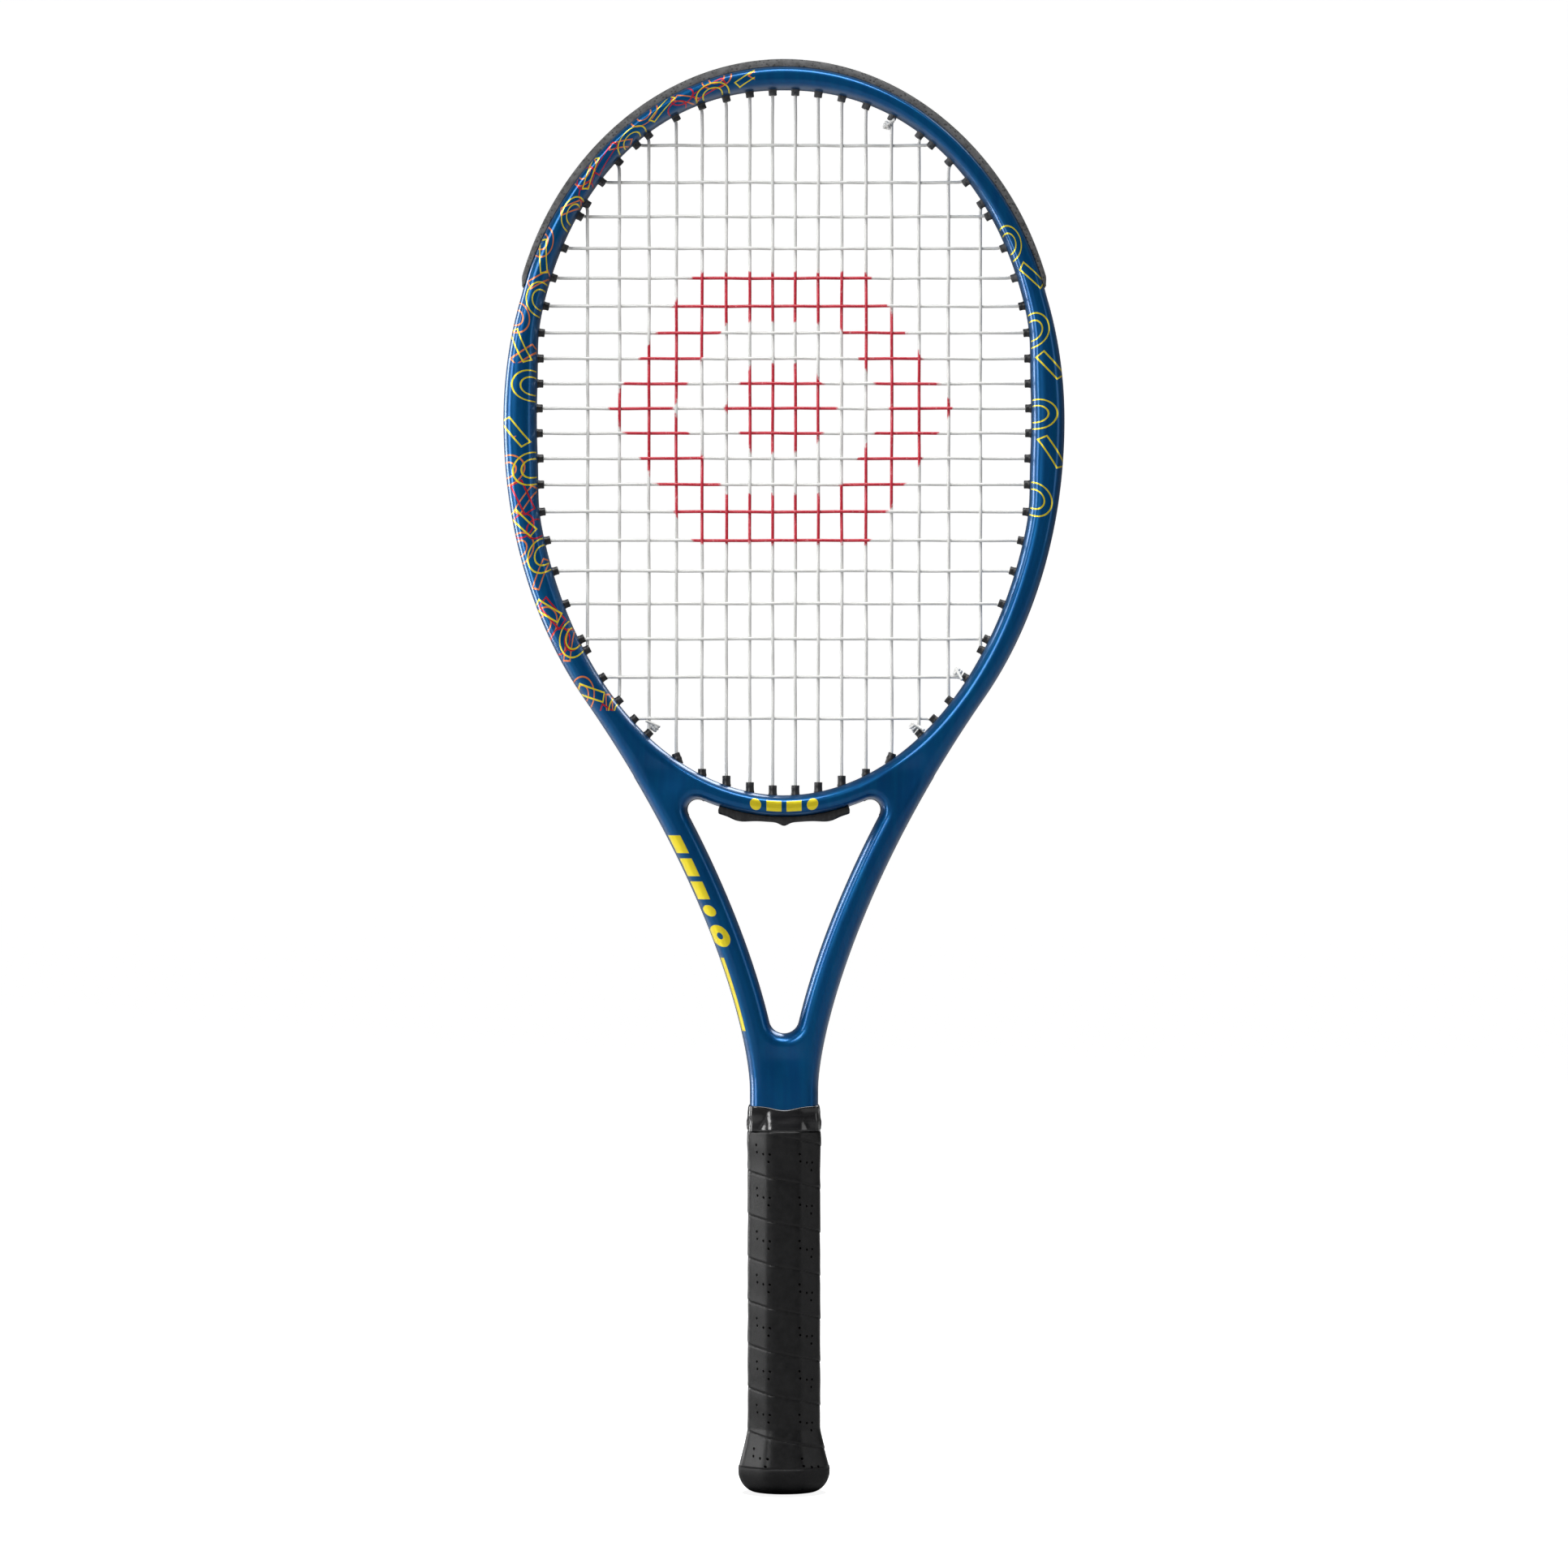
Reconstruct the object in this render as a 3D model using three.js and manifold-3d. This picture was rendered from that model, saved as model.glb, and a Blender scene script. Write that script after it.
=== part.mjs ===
// Tennis racket, strung and gripped. Millimetres, +Z up the racket, butt end at z = 0.
// X runs across the string bed and Y through it, so the front of the string bed faces -Y.
// The frame is a hollow hairpin: two arms rise from the handle, part at the throat and
// meet over the head. A bridge closes the head, and plastic strips line every string hole.
import * as THREE from 'three';
import { mergeVertices } from 'three/addons/utils/BufferGeometryUtils.js';
import Module from 'manifold-3d';

const wasm = await Module();
wasm.setup();

const radians = THREE.MathUtils.degToRad;

// ---------------------------------------------------------------- driving dimensions
const gap = 0.3;                // clearance between neighbouring pieces

// Overall
const racketLength = 685.8;     // butt end to the top of the bumper, 27 in
const handleTop = 173.3;        // level where the grip ends and the bare shaft begins

// Head: the inner edge, measured from its widest level
const headHalfWidth = 121;
const headRise = 158.6;         // from the widest level up to the crown
const headDrop = 179.4;         // from the widest level down to the bridge
const headFullness = 2.17;      // superellipse power of the upper half; 2 is an ellipse
const rimAtSide = 13.5;         // width of the rim in the plane of the strings
const rimAtCrown = 9.7;
const rimAtBridge = 10.6;
const sideBulge = 2.6;          // inward swelling of the rim at its widest level
const sideBulgeReach = 36;

// Section of the frame
const beamDepth = 24;           // through the string plane, at the head
const shaftDepth = 22;
const edgeRound = 7;            // rounding of the beam's corners, through the beam
const edgeRoundInPlane = 3.6;
const frameWall = 1.3;
const faceWall = 3.4;           // front and back walls, deep enough to clear the rounding
const armWall = 1.8;

// Arms, throat and shaft
const shaftHalfWidth = 16.35;
const armWidth = 14.1;
const armJoinDrop = 133;        // where the arm leaves the hoop, below the widest level
const armPullAtHead = 107.5;    // strength of the arm curve's upper tangent
const armPullAtShaft = 25;
const shaftTop = 192;           // level where the arm curve begins
const throatCorner = 5;         // radius of the throat opening's upper corners
const crotchRadius = 7.2;       // radius at the foot of the throat opening
const bridgeHalfLength = 33.5;
const hairpinWeb = 1.6;         // wall between the two tubes of the shaft

// String channel, strips and barrels
const channelDepth = 3;
const channelHalfWidth = 4;
const channelFoot = 339;        // level where the channel ends on the arms
const stripThickness = 1;
const barrelRadius = 1.8;
const barrelStand = 2.8;        // how far a barrel stands out of the rim into the head
const boreHalf = 1;
const aimDepth = 1.5;           // a string's line meets its barrel's axis this far inside the rim
const tieOffStretch = 1.4;      // a tie-off barrel is this much wider through the beam
const tieOffBoreHalf = 1.6;

// Bumper
const bumperStand = 4.5;        // thickness outside the frame at the crown
const bumperEnd = 2.2;          // and at its two ends
const bumperEndAngle = 22.4;    // degrees above the widest level
const bumperHalfDepth = 10.5;
const bumperWeb = 1;            // walls that drop into the string channel

// Bridge strip
const cornerMargin = 1.2;       // each corner grommet's plate runs on past its outer barrels
const bridgeStripHalf = 30.7;
const bridgeStripHalfDepth = 7;
const bridgeRailDrop = 4.6;
const railTaper = 0.55;         // how much the rails thin towards the strip's ends
const humpPlace = 0.66;         // the rails' humps, as shares of the strip's half length
const humpReach = 0.16;
const humpRise = 0.21;
const nibDrop = 0.8;            // a nib at the middle of the strip
const nibReach = 0.09;

// Strings
const mainsPerSide = 8;
const upperThroatMains = 5;     // mains on each side that come out inside the throat
const crossCount = 20;
const stringSize = 1.1;
const mainPitch = 10.85;        // spacing of the mains at the middle
const mainWiden = 0.0302;       // how the spacing grows outwards
const crossPitch = 11.85;
const crossWiden = 0.0283;
const crossTightest = 9.8;      // the cross, counted from the crown, where spacing is least
const crossLift = 8.3;          // its level above the widest level
const weaveRise = 1.6;          // how far a main steps over or under a cross
const tieOffStand = 1;          // a tie-off barrel stands out less
const bendClear = 0.9;          // free length between a barrel's mouth and the string's bend
const mouthLean = 0.35;         // how far a main leans off the middle where it meets its barrel
const laneReach = 2.56;         // distance from a hole to where its string has reached its lane
const laneShift = 1.6;          // side step of the string as it runs along the channel
const secondLane = 3.05;        // lane of a run that passes another loop
const sharedShift = 0.75;       // side step of two strings that share a tie-off barrel
const knotStart = 0.7;          // free length between a string's bend and its knot
const knotLength = 2.6;
const knotRadius = 1.9;
const knotSides = 8;
const knotTail = 3.3;           // length of the cut tail
const knotTailLean = radians(50);

// Handle
const gripHalfWidth = 17.5;
const gripThickness = 1.7;
const handleDepthRatio = 0.885; // depth of the octagon over its width
const tangHalfWidth = 10;
const tangHalfDepth = 7.2;
const tangWall = 1.6;
const tangBottom = 14;
const palletBottom = 6;
const capTop = 30.7;
const capWall = 1.2;            // at its upper lip
const flareTop = 31;            // the grip starts to widen here, towards the butt
const flareLevel = 11;          // level of the widest part of the butt
const flarePower = 1.15;
const flareHalfWidth = 22;
const buttFlatHalfWidth = 14;   // flat end that the racket stands on
const buttShoulder = [19.2, 3.9]; // half-width and level where the butt's dome turns up
const buttBelly = [21.6, 8.4];
const gripStart = 12.4;
const capFloor = 3;
const doorHalfWidth = 9.7;
const doorRecess = 0.5;
const doorThickness = 2;
const doorLegHeight = 6;
const doorLegWidth = 5;
const doorLegThickness = 1.4;
const collarTop = 185.6;
const collarHalfWidth = 17.9;
const collarHalfDepth = 13.4;
const collarCorner = 2.5;
const collarEase = 0.6;         // chamfer of its two ends
const stapleLevel = 21;
const stapleSpan = 7;
const stapleLeg = 4.2;
const stapleWire = 0.9;
const staplePocketReach = 5;

// Smoothness
const hoopSteps = 44;
const headSteps = 56;
const armSteps = 12;
const cornerSteps = 4;
const bridgeSteps = 4;
const bridgeHollowSteps = 8;
const bridgeStripSteps = 14;
const flareSteps = 4;
const bevelSteps = 2;
const boreOvershoot = 4;        // bores are cut this far past the outermost solid

// ---------------------------------------------------------------- derived sizes
const headLevel = racketLength - bumperStand - rimAtCrown - headRise;
const outerHalfWidth = headHalfWidth + rimAtSide;
const outerRise = headRise + rimAtCrown;
const outerDrop = headDrop + rimAtBridge;
const stripFloor = -channelDepth + gap;                       // offsets from the rim's edge
const stripFace = stripFloor + stripThickness;
const stringLevel = stripFace + gap + stringSize / 2;
const bridgeStripFace = gap + stripThickness;
const bridgeStringLevel = bridgeStripFace + gap + stringSize / 2;
const palletHalfWidth = gripHalfWidth - gripThickness - gap;
const capPocketHalf = palletHalfWidth - capWall;

// ---------------------------------------------------------------- materials
function finish(color, roughness, metalness = 0) {
  return new THREE.MeshStandardMaterial({ color, roughness, metalness });
}
const frameLacquer = finish('#01487a', 0.22);
const guardPlastic = finish('#3a3b3d', 0.55);
const grommetPlastic = finish('#17181a', 0.45);
const stringPolymer = finish('#e9e8e4', 0.35);
const palletFoam = finish('#8a6f4e', 0.8);
const capPlastic = finish('#141415', 0.4);
const gripSkin = finish('#1b1b1c', 0.5);
const collarRubber = finish('#101011', 0.3);
const stapleSteel = finish('#9a9ca0', 0.35, 1);

// ---------------------------------------------------------------- solids and booleans
function solidOf(geometry) {
  const bare = geometry.index ? geometry.toNonIndexed() : geometry.clone();
  bare.deleteAttribute('normal');
  bare.deleteAttribute('uv');
  const merged = mergeVertices(bare, 1e-4);
  return new wasm.Manifold(new wasm.Mesh({
    numProp: 3,
    vertProperties: new Float32Array(merged.attributes.position.array),
    triVerts: new Uint32Array(merged.index.array),
  }));
}

function geometryOf(solid) {
  const mesh = solid.getMesh();
  const geometry = new THREE.BufferGeometry();
  geometry.setAttribute('position', new THREE.BufferAttribute(mesh.vertProperties, 3));
  geometry.setIndex(new THREE.BufferAttribute(mesh.triVerts, 1));
  return geometry;
}

function joined(solids) {
  return solids.reduce((whole, solid) => whole.add(solid));
}

function cut(solid, tools) {
  return tools.length ? solid.subtract(joined(tools)) : solid;
}

const racket = new THREE.Group();

function addPiece(name, shape, material) {
  const geometry = shape.isBufferGeometry ? shape : geometryOf(shape);
  const mesh = new THREE.Mesh(geometry, material);
  mesh.name = name;
  racket.add(mesh);
  return mesh;
}

// A plate drawn in the string plane and centred on it, from yLow to yHigh through it.
function plate(outline, yLow, yHigh, options = {}) {
  const { holes = [], round = 0, roundInPlane = 0, steps = bevelSteps } = options;
  const shape = new THREE.Shape(outline.map((p) => new THREE.Vector2(p.x, p.z)));
  shape.holes = holes.map((hole) => new THREE.Path(hole.map((p) => new THREE.Vector2(p.x, p.z))));
  const geometry = new THREE.ExtrudeGeometry(shape, {
    depth: yHigh - yLow - 2 * round,
    steps: 1,
    curveSegments: 1,
    bevelEnabled: round > 0,
    bevelThickness: round,
    bevelSize: roundInPlane,
    bevelOffset: -roundInPlane,
    bevelSegments: steps,
  });
  geometry.translate(0, 0, -(yHigh - yLow) / 2 + round);
  geometry.rotateX(Math.PI / 2);
  geometry.translate(0, (yLow + yHigh) / 2, 0);
  return geometry;
}

function block(xLow, xHigh, yLow, yHigh, zLow, zHigh) {
  const geometry = new THREE.BoxGeometry(xHigh - xLow, yHigh - yLow, zHigh - zLow);
  return geometry.translate((xLow + xHigh) / 2, (yLow + yHigh) / 2, (zLow + zHigh) / 2);
}

// ---------------------------------------------------------------- curves of the frame
function mirrored(points) {
  return points.map((p) => ({ ...p, x: -p.x })).reverse();
}

function innerEdge(angle) {
  const up = Math.sin(angle) >= 0;
  const power = 2 / (up ? headFullness : 2);
  const across = Math.sign(Math.cos(angle)) * Math.abs(Math.cos(angle)) ** power;
  const along = Math.sign(Math.sin(angle)) * Math.abs(Math.sin(angle)) ** power;
  const rise = (up ? headRise : headDrop) * along;
  const swelling = sideBulge * Math.exp(-((rise / sideBulgeReach) ** 4));
  return { x: across * (headHalfWidth - swelling), z: headLevel + rise };
}

function outerEdge(angle) {
  const rise = Math.sin(angle) >= 0 ? outerRise : outerDrop;
  return { x: outerHalfWidth * Math.cos(angle), z: headLevel + rise * Math.sin(angle) };
}

// Outward normal of a curve that runs counterclockwise round the head.
function normalOf(curve, t) {
  const step = 1e-4;
  const before = curve(t - step);
  const after = curve(t + step);
  const length = Math.hypot(after.x - before.x, after.z - before.z);
  return { x: (after.z - before.z) / length, z: -(after.x - before.x) / length };
}

function offsetPoint(curve, t, distance) {
  const p = curve(t);
  const n = normalOf(curve, t);
  return { x: p.x + n.x * distance, z: p.z + n.z * distance };
}

const armJoinAngle = -Math.asin(armJoinDrop / outerDrop);
const armCurve = (() => {
  const start = outerEdge(armJoinAngle);
  const n = normalOf(outerEdge, armJoinAngle);
  const toShaft = { x: n.z, z: -n.x };
  return new THREE.CubicBezierCurve(
    new THREE.Vector2(shaftHalfWidth, shaftTop),
    new THREE.Vector2(shaftHalfWidth, shaftTop + armPullAtShaft),
    new THREE.Vector2(start.x + toShaft.x * armPullAtHead, start.z + toShaft.z * armPullAtHead),
    new THREE.Vector2(start.x, start.z),
  );
})();

// The right arm's outer edge, rising from the shaft (t = 0) to the hoop (t = 1).
function armEdge(t) {
  const p = armCurve.getPoint(t);
  return { x: p.x, z: p.y };
}

// Halves the interval until f changes sign at its middle.
function solve(f, low, high) {
  const risesWithin = f(high) > f(low);
  let [a, b] = [low, high];
  for (let i = 0; i < 50; i += 1) {
    const middle = (a + b) / 2;
    if (f(middle) > 0 === risesWithin) b = middle;
    else a = middle;
  }
  return (a + b) / 2;
}

function range(count, make) {
  return Array.from({ length: count }, (_, i) => make(i));
}

function lerp(a, b, f) {
  return a + (b - a) * f;
}

function arc(centre, radius, from, to, steps) {
  return range(steps + 1, (i) => {
    const angle = lerp(from, to, i / steps);
    return { x: centre.x + radius * Math.cos(angle), z: centre.z + radius * Math.sin(angle) };
  });
}

// The frame's outer edge, right half, from the foot of the shaft to the crown.
function outerRightHalf() {
  const arm = range(armSteps, (i) => armEdge(i / armSteps));
  const hoop = range(hoopSteps / 2 + 1, (i) => (
    outerEdge(lerp(armJoinAngle, Math.PI / 2, i / (hoopSteps / 2)))));
  return [{ x: shaftHalfWidth, z: handleTop + gap }, ...arm, ...hoop];
}

// The throat opening's edge, right half, from its foot up to the middle of the bridge.
function throatRightHalf() {
  const foot = solve((t) => offsetPoint(armEdge, t, -armWidth - crotchRadius).x, 0.01, 0.6);
  const footCentre = offsetPoint(armEdge, foot, -armWidth - crotchRadius);
  const outside = (p) => Math.hypot(
    p.x / (outerHalfWidth + throatCorner),
    (p.z - headLevel) / (outerDrop + throatCorner),
  ) - 1;
  const top = solve((t) => outside(offsetPoint(armEdge, t, -armWidth - throatCorner)), foot, 0.98);
  const corner = offsetPoint(armEdge, top, -armWidth - throatCorner);
  const side = normalOf(armEdge, top);
  const bridgeAngle = Math.atan2(
    (corner.z - headLevel) / (outerDrop + throatCorner),
    corner.x / (outerHalfWidth + throatCorner),
  );
  const under = normalOf(outerEdge, bridgeAngle);
  const footSide = normalOf(armEdge, foot);
  const footArc = arc(footCentre, crotchRadius, -Math.PI / 2,
    Math.atan2(footSide.z, footSide.x), cornerSteps);
  const sideEdge = range(armSteps - 1, (i) => (
    offsetPoint(armEdge, lerp(foot, top, (i + 1) / armSteps), -armWidth)));
  const cornerArc = arc(corner, throatCorner, Math.atan2(side.z, side.x),
    Math.atan2(-under.z, -under.x), cornerSteps);
  const underside = range(bridgeSteps, (i) => (
    outerEdge(lerp(bridgeAngle, -Math.PI / 2, (i + 1) / bridgeSteps))));
  return [...footArc, ...sideEdge, ...cornerArc, ...underside];
}

function closedFromHalf(half) {
  const atMiddle = (p) => Math.abs(p.x) < 1e-6;
  const left = mirrored(half).filter((p) => !atMiddle(p));
  return [...half.map((p) => (atMiddle(p) ? { x: 0, z: p.z } : p)), ...left];
}

const outerHalf = outerRightHalf();
const throatHalf = throatRightHalf();
const frameOutline = closedFromHalf(outerHalf);
const throatOutline = closedFromHalf(throatHalf);
const headOutline = range(headSteps, (i) => (
  innerEdge((i + 0.5) * 2 * Math.PI / headSteps - Math.PI / 2)));

// ---------------------------------------------------------------- tracks along an edge
// A track is an edge with a normal at each point. Places on it are numbers: 2.25 is a
// quarter of the way from point 2 to point 3.
function makeTrack(points, side) {
  const normals = points.map((p, i) => {
    const before = points[Math.max(i - 1, 0)];
    const after = points[Math.min(i + 1, points.length - 1)];
    const length = Math.hypot(after.x - before.x, after.z - before.z);
    return { x: side * (after.z - before.z) / length, z: -side * (after.x - before.x) / length };
  });
  const vertex = (i, offset) => ({
    x: points[i].x + normals[i].x * offset,
    z: points[i].z + normals[i].z * offset,
  });
  const at = (place, offset) => {
    const i = Math.min(Math.max(Math.floor(place), 0), points.length - 2);
    const [a, b] = [vertex(i, offset), vertex(i + 1, offset)];
    return { x: lerp(a.x, b.x, place - i), z: lerp(a.z, b.z, place - i) };
  };
  const unit = (place) => {
    const i = Math.min(Math.max(Math.floor(place), 0), points.length - 2);
    return 1 / Math.hypot(points[i + 1].x - points[i].x, points[i + 1].z - points[i].z);
  };
  // Places of the stretch's ends and of every point between them.
  const between = (from, to) => {
    const [low, high] = [Math.min(from, to), Math.max(from, to)];
    const inner = range(points.length, (i) => i).filter((i) => i > low + 0.02 && i < high - 0.02);
    const places = [low, ...inner, high];
    return from < to ? places : places.reverse();
  };
  // Where a ray from p along d crosses the track at an offset.
  const hit = (p, d, offset) => {
    for (let i = 0; i < points.length - 1; i += 1) {
      const [a, b] = [vertex(i, offset), vertex(i + 1, offset)];
      const edge = { x: b.x - a.x, z: b.z - a.z };
      const det = d.x * edge.z - d.z * edge.x;
      const along = ((a.x - p.x) * edge.z - (a.z - p.z) * edge.x) / det;
      const across = ((a.x - p.x) * d.z - (a.z - p.z) * d.x) / det;
      if (Math.abs(det) > 1e-9 && along > 0 && across >= 0 && across <= 1) {
        return { place: i + across, distance: along };
      }
    }
    throw new Error('a string hole misses the edge of the frame');
  };
  return { points, at, unit, between, hit };
}

// The rim's outer edge from the left arm over the crown to the right arm.
const rimHalf = outerHalf.slice(3);
const rimTrack = makeTrack(
  [...rimHalf.slice(0, -1), ...mirrored(rimHalf)].map((p) => ({ x: p.x, z: p.z })),
  1,
);
// The throat opening's upper edge, corner to corner, with normals into the opening.
const upperThroat = throatHalf.slice(-10);
const cornerExit = 4;           // point of the corner where the outermost of them comes out
const throatTrack = makeTrack([...upperThroat, ...mirrored(upperThroat).slice(1)], -1);

// Outline of a band that follows a track between two places and two offsets.
function band(track, from, to, innerOffset, outerOffset) {
  const places = track.between(from, to);
  const offsetAt = (offset, place) => (typeof offset === 'function' ? offset(place) : offset);
  const near = places.map((place) => track.at(place, offsetAt(innerOffset, place)));
  const far = places.map((place) => track.at(place, offsetAt(outerOffset, place)));
  return [...near, ...far.reverse()];
}

const lastRimPlace = rimTrack.points.length - 1;
const bumperPlace = (() => {
  const level = headLevel + outerRise * Math.sin(radians(bumperEndAngle));
  return solve((place) => rimTrack.at(place, 0).z - level, 0, lastRimPlace / 2);
})();
const channelEnd = solve((place) => rimTrack.at(place, 0).z - channelFoot, 0, lastRimPlace / 2);
const stripGap = 2 * gap * rimTrack.unit(bumperPlace);

// ---------------------------------------------------------------- string holes
function mainPlace(k) {
  return mainPitch * (k - 0.5) + mainWiden * (k - 0.5) ** 3;
}

function crossPlace(j) {
  const u = j - crossTightest;
  return headLevel + crossLift - crossPitch * u - crossWiden * u ** 3;
}

const mainTieOff = 6;             // the outer mains end on these mains, near the bridge
const crossStartMain = 5;         // the crosses start on this main, at the crown, right side
const crossEndCross = 19;         // and end on this cross, right side

// A hole as { turn, d, track, place, length }: the string's bend inside the head, the way
// out through the rim, and the place where it leaves.
function holeFrom(angle, tieOff, stand, aim) {
  const turn = offsetPoint(innerEdge, angle, -stand);
  const d = aim ?? normalOf(innerEdge, angle);
  const throughBridge = aim !== undefined;
  const track = throughBridge ? throatTrack : rimTrack;
  const face = throughBridge ? gap + stripThickness / 2 : (stripFloor + stripFace) / 2;
  const { place, distance } = track.hit(turn, d, face);
  return { turn, d, track, place, length: distance, tieOff };
}

function mainHole(k, side, end) {
  const x = mainPlace(k);
  const quarter = Math.PI / 2;
  const [low, high] = end === 'top' ? [0, quarter] : [-quarter, 0];
  const tieOff = end === 'bottom' ? k === mainTieOff : k === crossStartMain && side > 0;
  const stand = (tieOff ? tieOffStand : barrelStand) + bendClear;
  const angle = solve((a) => offsetPoint(innerEdge, a, -aimDepth).x - x, low, high);
  const outwards = end === 'top' || k > upperThroatMains;
  if (outwards) return mirrorHole(holeFrom(angle, tieOff, stand), side);
  // The last of these leans inwards, so that it comes out in the throat's corner.
  const turn = offsetPoint(innerEdge, angle, -stand);
  const exit = k < upperThroatMains ? { x: turn.x, z: 0 } : throatTrack.points[cornerExit];
  const length = Math.hypot(exit.x - turn.x, exit.z - turn.z);
  const aim = { x: (exit.x - turn.x) / length, z: (exit.z - turn.z) / length };
  return mirrorHole(holeFrom(angle, tieOff, stand, aim), side);
}

function crossHole(j, side) {
  const tieOff = j === crossEndCross && side > 0;
  const quarter = Math.PI / 2;
  const aimedAt = (angle) => offsetPoint(innerEdge, angle, -aimDepth).z;
  const angle = solve((a) => aimedAt(a) - crossPlace(j), -quarter, quarter);
  return mirrorHole(holeFrom(angle, tieOff, barrelStand + bendClear), side);
}

function mirrorHole(hole, side) {
  if (side > 0) return hole;
  const last = hole.track.points.length - 1;
  return {
    ...hole,
    turn: { x: -hole.turn.x, z: hole.turn.z },
    d: { x: -hole.d.x, z: hole.d.z },
    place: last - hole.place,
  };
}

const sides = [-1, 1];
const mainHoles = {};
const crossHoles = {};
for (const side of sides) {
  for (let k = 1; k <= mainsPerSide; k += 1) {
    for (const end of ['top', 'bottom']) mainHoles[`${k} ${side} ${end}`] = mainHole(k, side, end);
  }
  for (let j = 1; j <= crossCount; j += 1) crossHoles[`${j} ${side}`] = crossHole(j, side);
}

// A bar along a hole, from start to end along the way out, hexagonal or square.
function holeBar(hole, start, end, radius, sidesOfBar, depthHalf) {
  const geometry = new THREE.CylinderGeometry(radius, radius, end - start, sidesOfBar);
  if (sidesOfBar === 4) geometry.rotateY(Math.PI / 4);
  geometry.rotateX(Math.PI / 2);
  geometry.rotateZ(Math.PI / 2);
  geometry.scale(1, depthHalf / radius, 1);
  geometry.translate(0, 0, (start + end) / 2);
  geometry.rotateY(Math.atan2(hole.d.x, hole.d.z));
  geometry.translate(hole.turn.x, 0, hole.turn.z);
  return solidOf(geometry);
}

function barrel(hole) {
  const stretch = hole.tieOff ? tieOffStretch : 1;
  return holeBar(hole, bendClear, hole.length, barrelRadius, 6, barrelRadius * stretch);
}

function bore(hole) {
  const depthHalf = (hole.tieOff ? tieOffBoreHalf : boreHalf) * Math.SQRT2;
  return holeBar(hole, 0, hole.length + boreOvershoot, boreHalf * Math.SQRT2, 4, depthHalf);
}

// A square hole that the barrel passes through with the clearance.
function frameHole(hole) {
  const stretch = hole.tieOff ? tieOffStretch : 1;
  const radius = (barrelRadius + gap) * Math.SQRT2;
  const depthHalf = (barrelRadius * stretch + gap) * Math.SQRT2;
  return holeBar(hole, 0, hole.length + boreOvershoot, radius, 4, depthHalf);
}

// ---------------------------------------------------------------- frame and bridge
function beamScale(z) {
  const f = THREE.MathUtils.smoothstep(z, shaftTop, headLevel - outerDrop);
  return lerp(shaftDepth / beamDepth, 1, f);
}

function taperedBeam(geometry) {
  const position = geometry.attributes.position;
  for (let i = 0; i < position.count; i += 1) {
    position.setY(i, position.getY(i) * beamScale(position.getZ(i)));
  }
  return geometry;
}

function frameBlank() {
  const half = beamDepth / 2;
  return solidOf(taperedBeam(plate(frameOutline, -half, half, {
    holes: [headOutline, throatOutline],
    round: edgeRound,
    roundInPlane: edgeRoundInPlane,
  })));
}

// The hollow inside the hairpin: one tube from the shaft, round the head and back down.
function hairpinHollow() {
  const shaftFloor = handleTop + 2 * frameWall;
  const outer = makeTrack(outerHalf, 1);
  const channelWall = channelDepth + frameWall;
  const shell = outerHalf.slice(1).map((p, i) => (
    outer.at(i + 1, p.z < headLevel - outerDrop ? -armWall : -channelWall)));
  const shellUp = [{ x: shaftHalfWidth - armWall, z: shaftFloor }, ...shell];
  const throat = makeTrack(throatHalf, 1);
  const besideThroat = range(throatHalf.length - upperThroat.length, (i) => (
    throat.at(i, frameWall))).filter((p) => p.x > hairpinWeb).reverse();
  const aboveBridge = bridgeHalfLength + 4 * frameWall;
  const besideHead = range(hoopSteps / 2 + 1, (i) => (
    offsetPoint(innerEdge, lerp(Math.PI / 2, -Math.PI / 2, i / (hoopSteps / 2)), frameWall)))
    .filter((p) => p.z > headLevel || p.x > aboveBridge);
  const web = besideThroat[besideThroat.length - 1];
  const innerDown = [
    ...besideHead,
    ...besideThroat,
    { x: hairpinWeb / 2, z: web.z - crotchRadius / 2 },
    { x: hairpinWeb / 2, z: shaftFloor },
  ];
  for (const crown of [innerDown[0], shellUp[shellUp.length - 1]]) crown.x = 0;
  const outline = [
    ...shellUp, ...mirrored(shellUp).slice(1), ...mirrored(innerDown), ...innerDown.slice(1)];
  const half = beamDepth / 2 - faceWall;
  const tube = solidOf(taperedBeam(plate(outline, -half, half)));
  const tunnels = sides.map((side) => {
    const [near, far] = [hairpinWeb / 2, tangHalfWidth - tangWall].map((x) => side * x);
    const depth = tangHalfDepth - tangWall;
    return solidOf(block(Math.min(near, far), Math.max(near, far), -depth, depth,
      tangBottom - gap, shaftFloor + frameWall));
  });
  return joined([tube, ...tunnels]);
}

function bridgeHollow() {
  const reach = Math.asin(bridgeHalfLength / outerHalfWidth) * 2;
  const span = range(bridgeHollowSteps + 1, (i) => (
    lerp(-reach, reach, i / bridgeHollowSteps) - Math.PI / 2));
  const top = span.map((a) => offsetPoint(innerEdge, a, frameWall));
  const bottom = span.map((a) => offsetPoint(outerEdge, a, -frameWall)).reverse();
  const half = beamDepth / 2 - faceWall;
  return solidOf(plate([...bottom, ...top], -half, half));
}

const allHoles = [...Object.values(mainHoles), ...Object.values(crossHoles)];
const inBridge = (hole) => hole.track === throatTrack && Math.abs(hole.turn.x) < bridgeHalfLength;

function bridgeSlab(halfLength) {
  const [low, high] = [headLevel - outerDrop - edgeRound, headLevel - headDrop + rimAtBridge];
  return solidOf(block(-halfLength, halfLength, -beamDepth, beamDepth, low, high));
}

function stringChannel() {
  const outline = band(rimTrack, channelEnd, lastRimPlace - channelEnd, -channelDepth, 2);
  return solidOf(plate(outline, -channelHalfWidth, channelHalfWidth));
}

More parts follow.
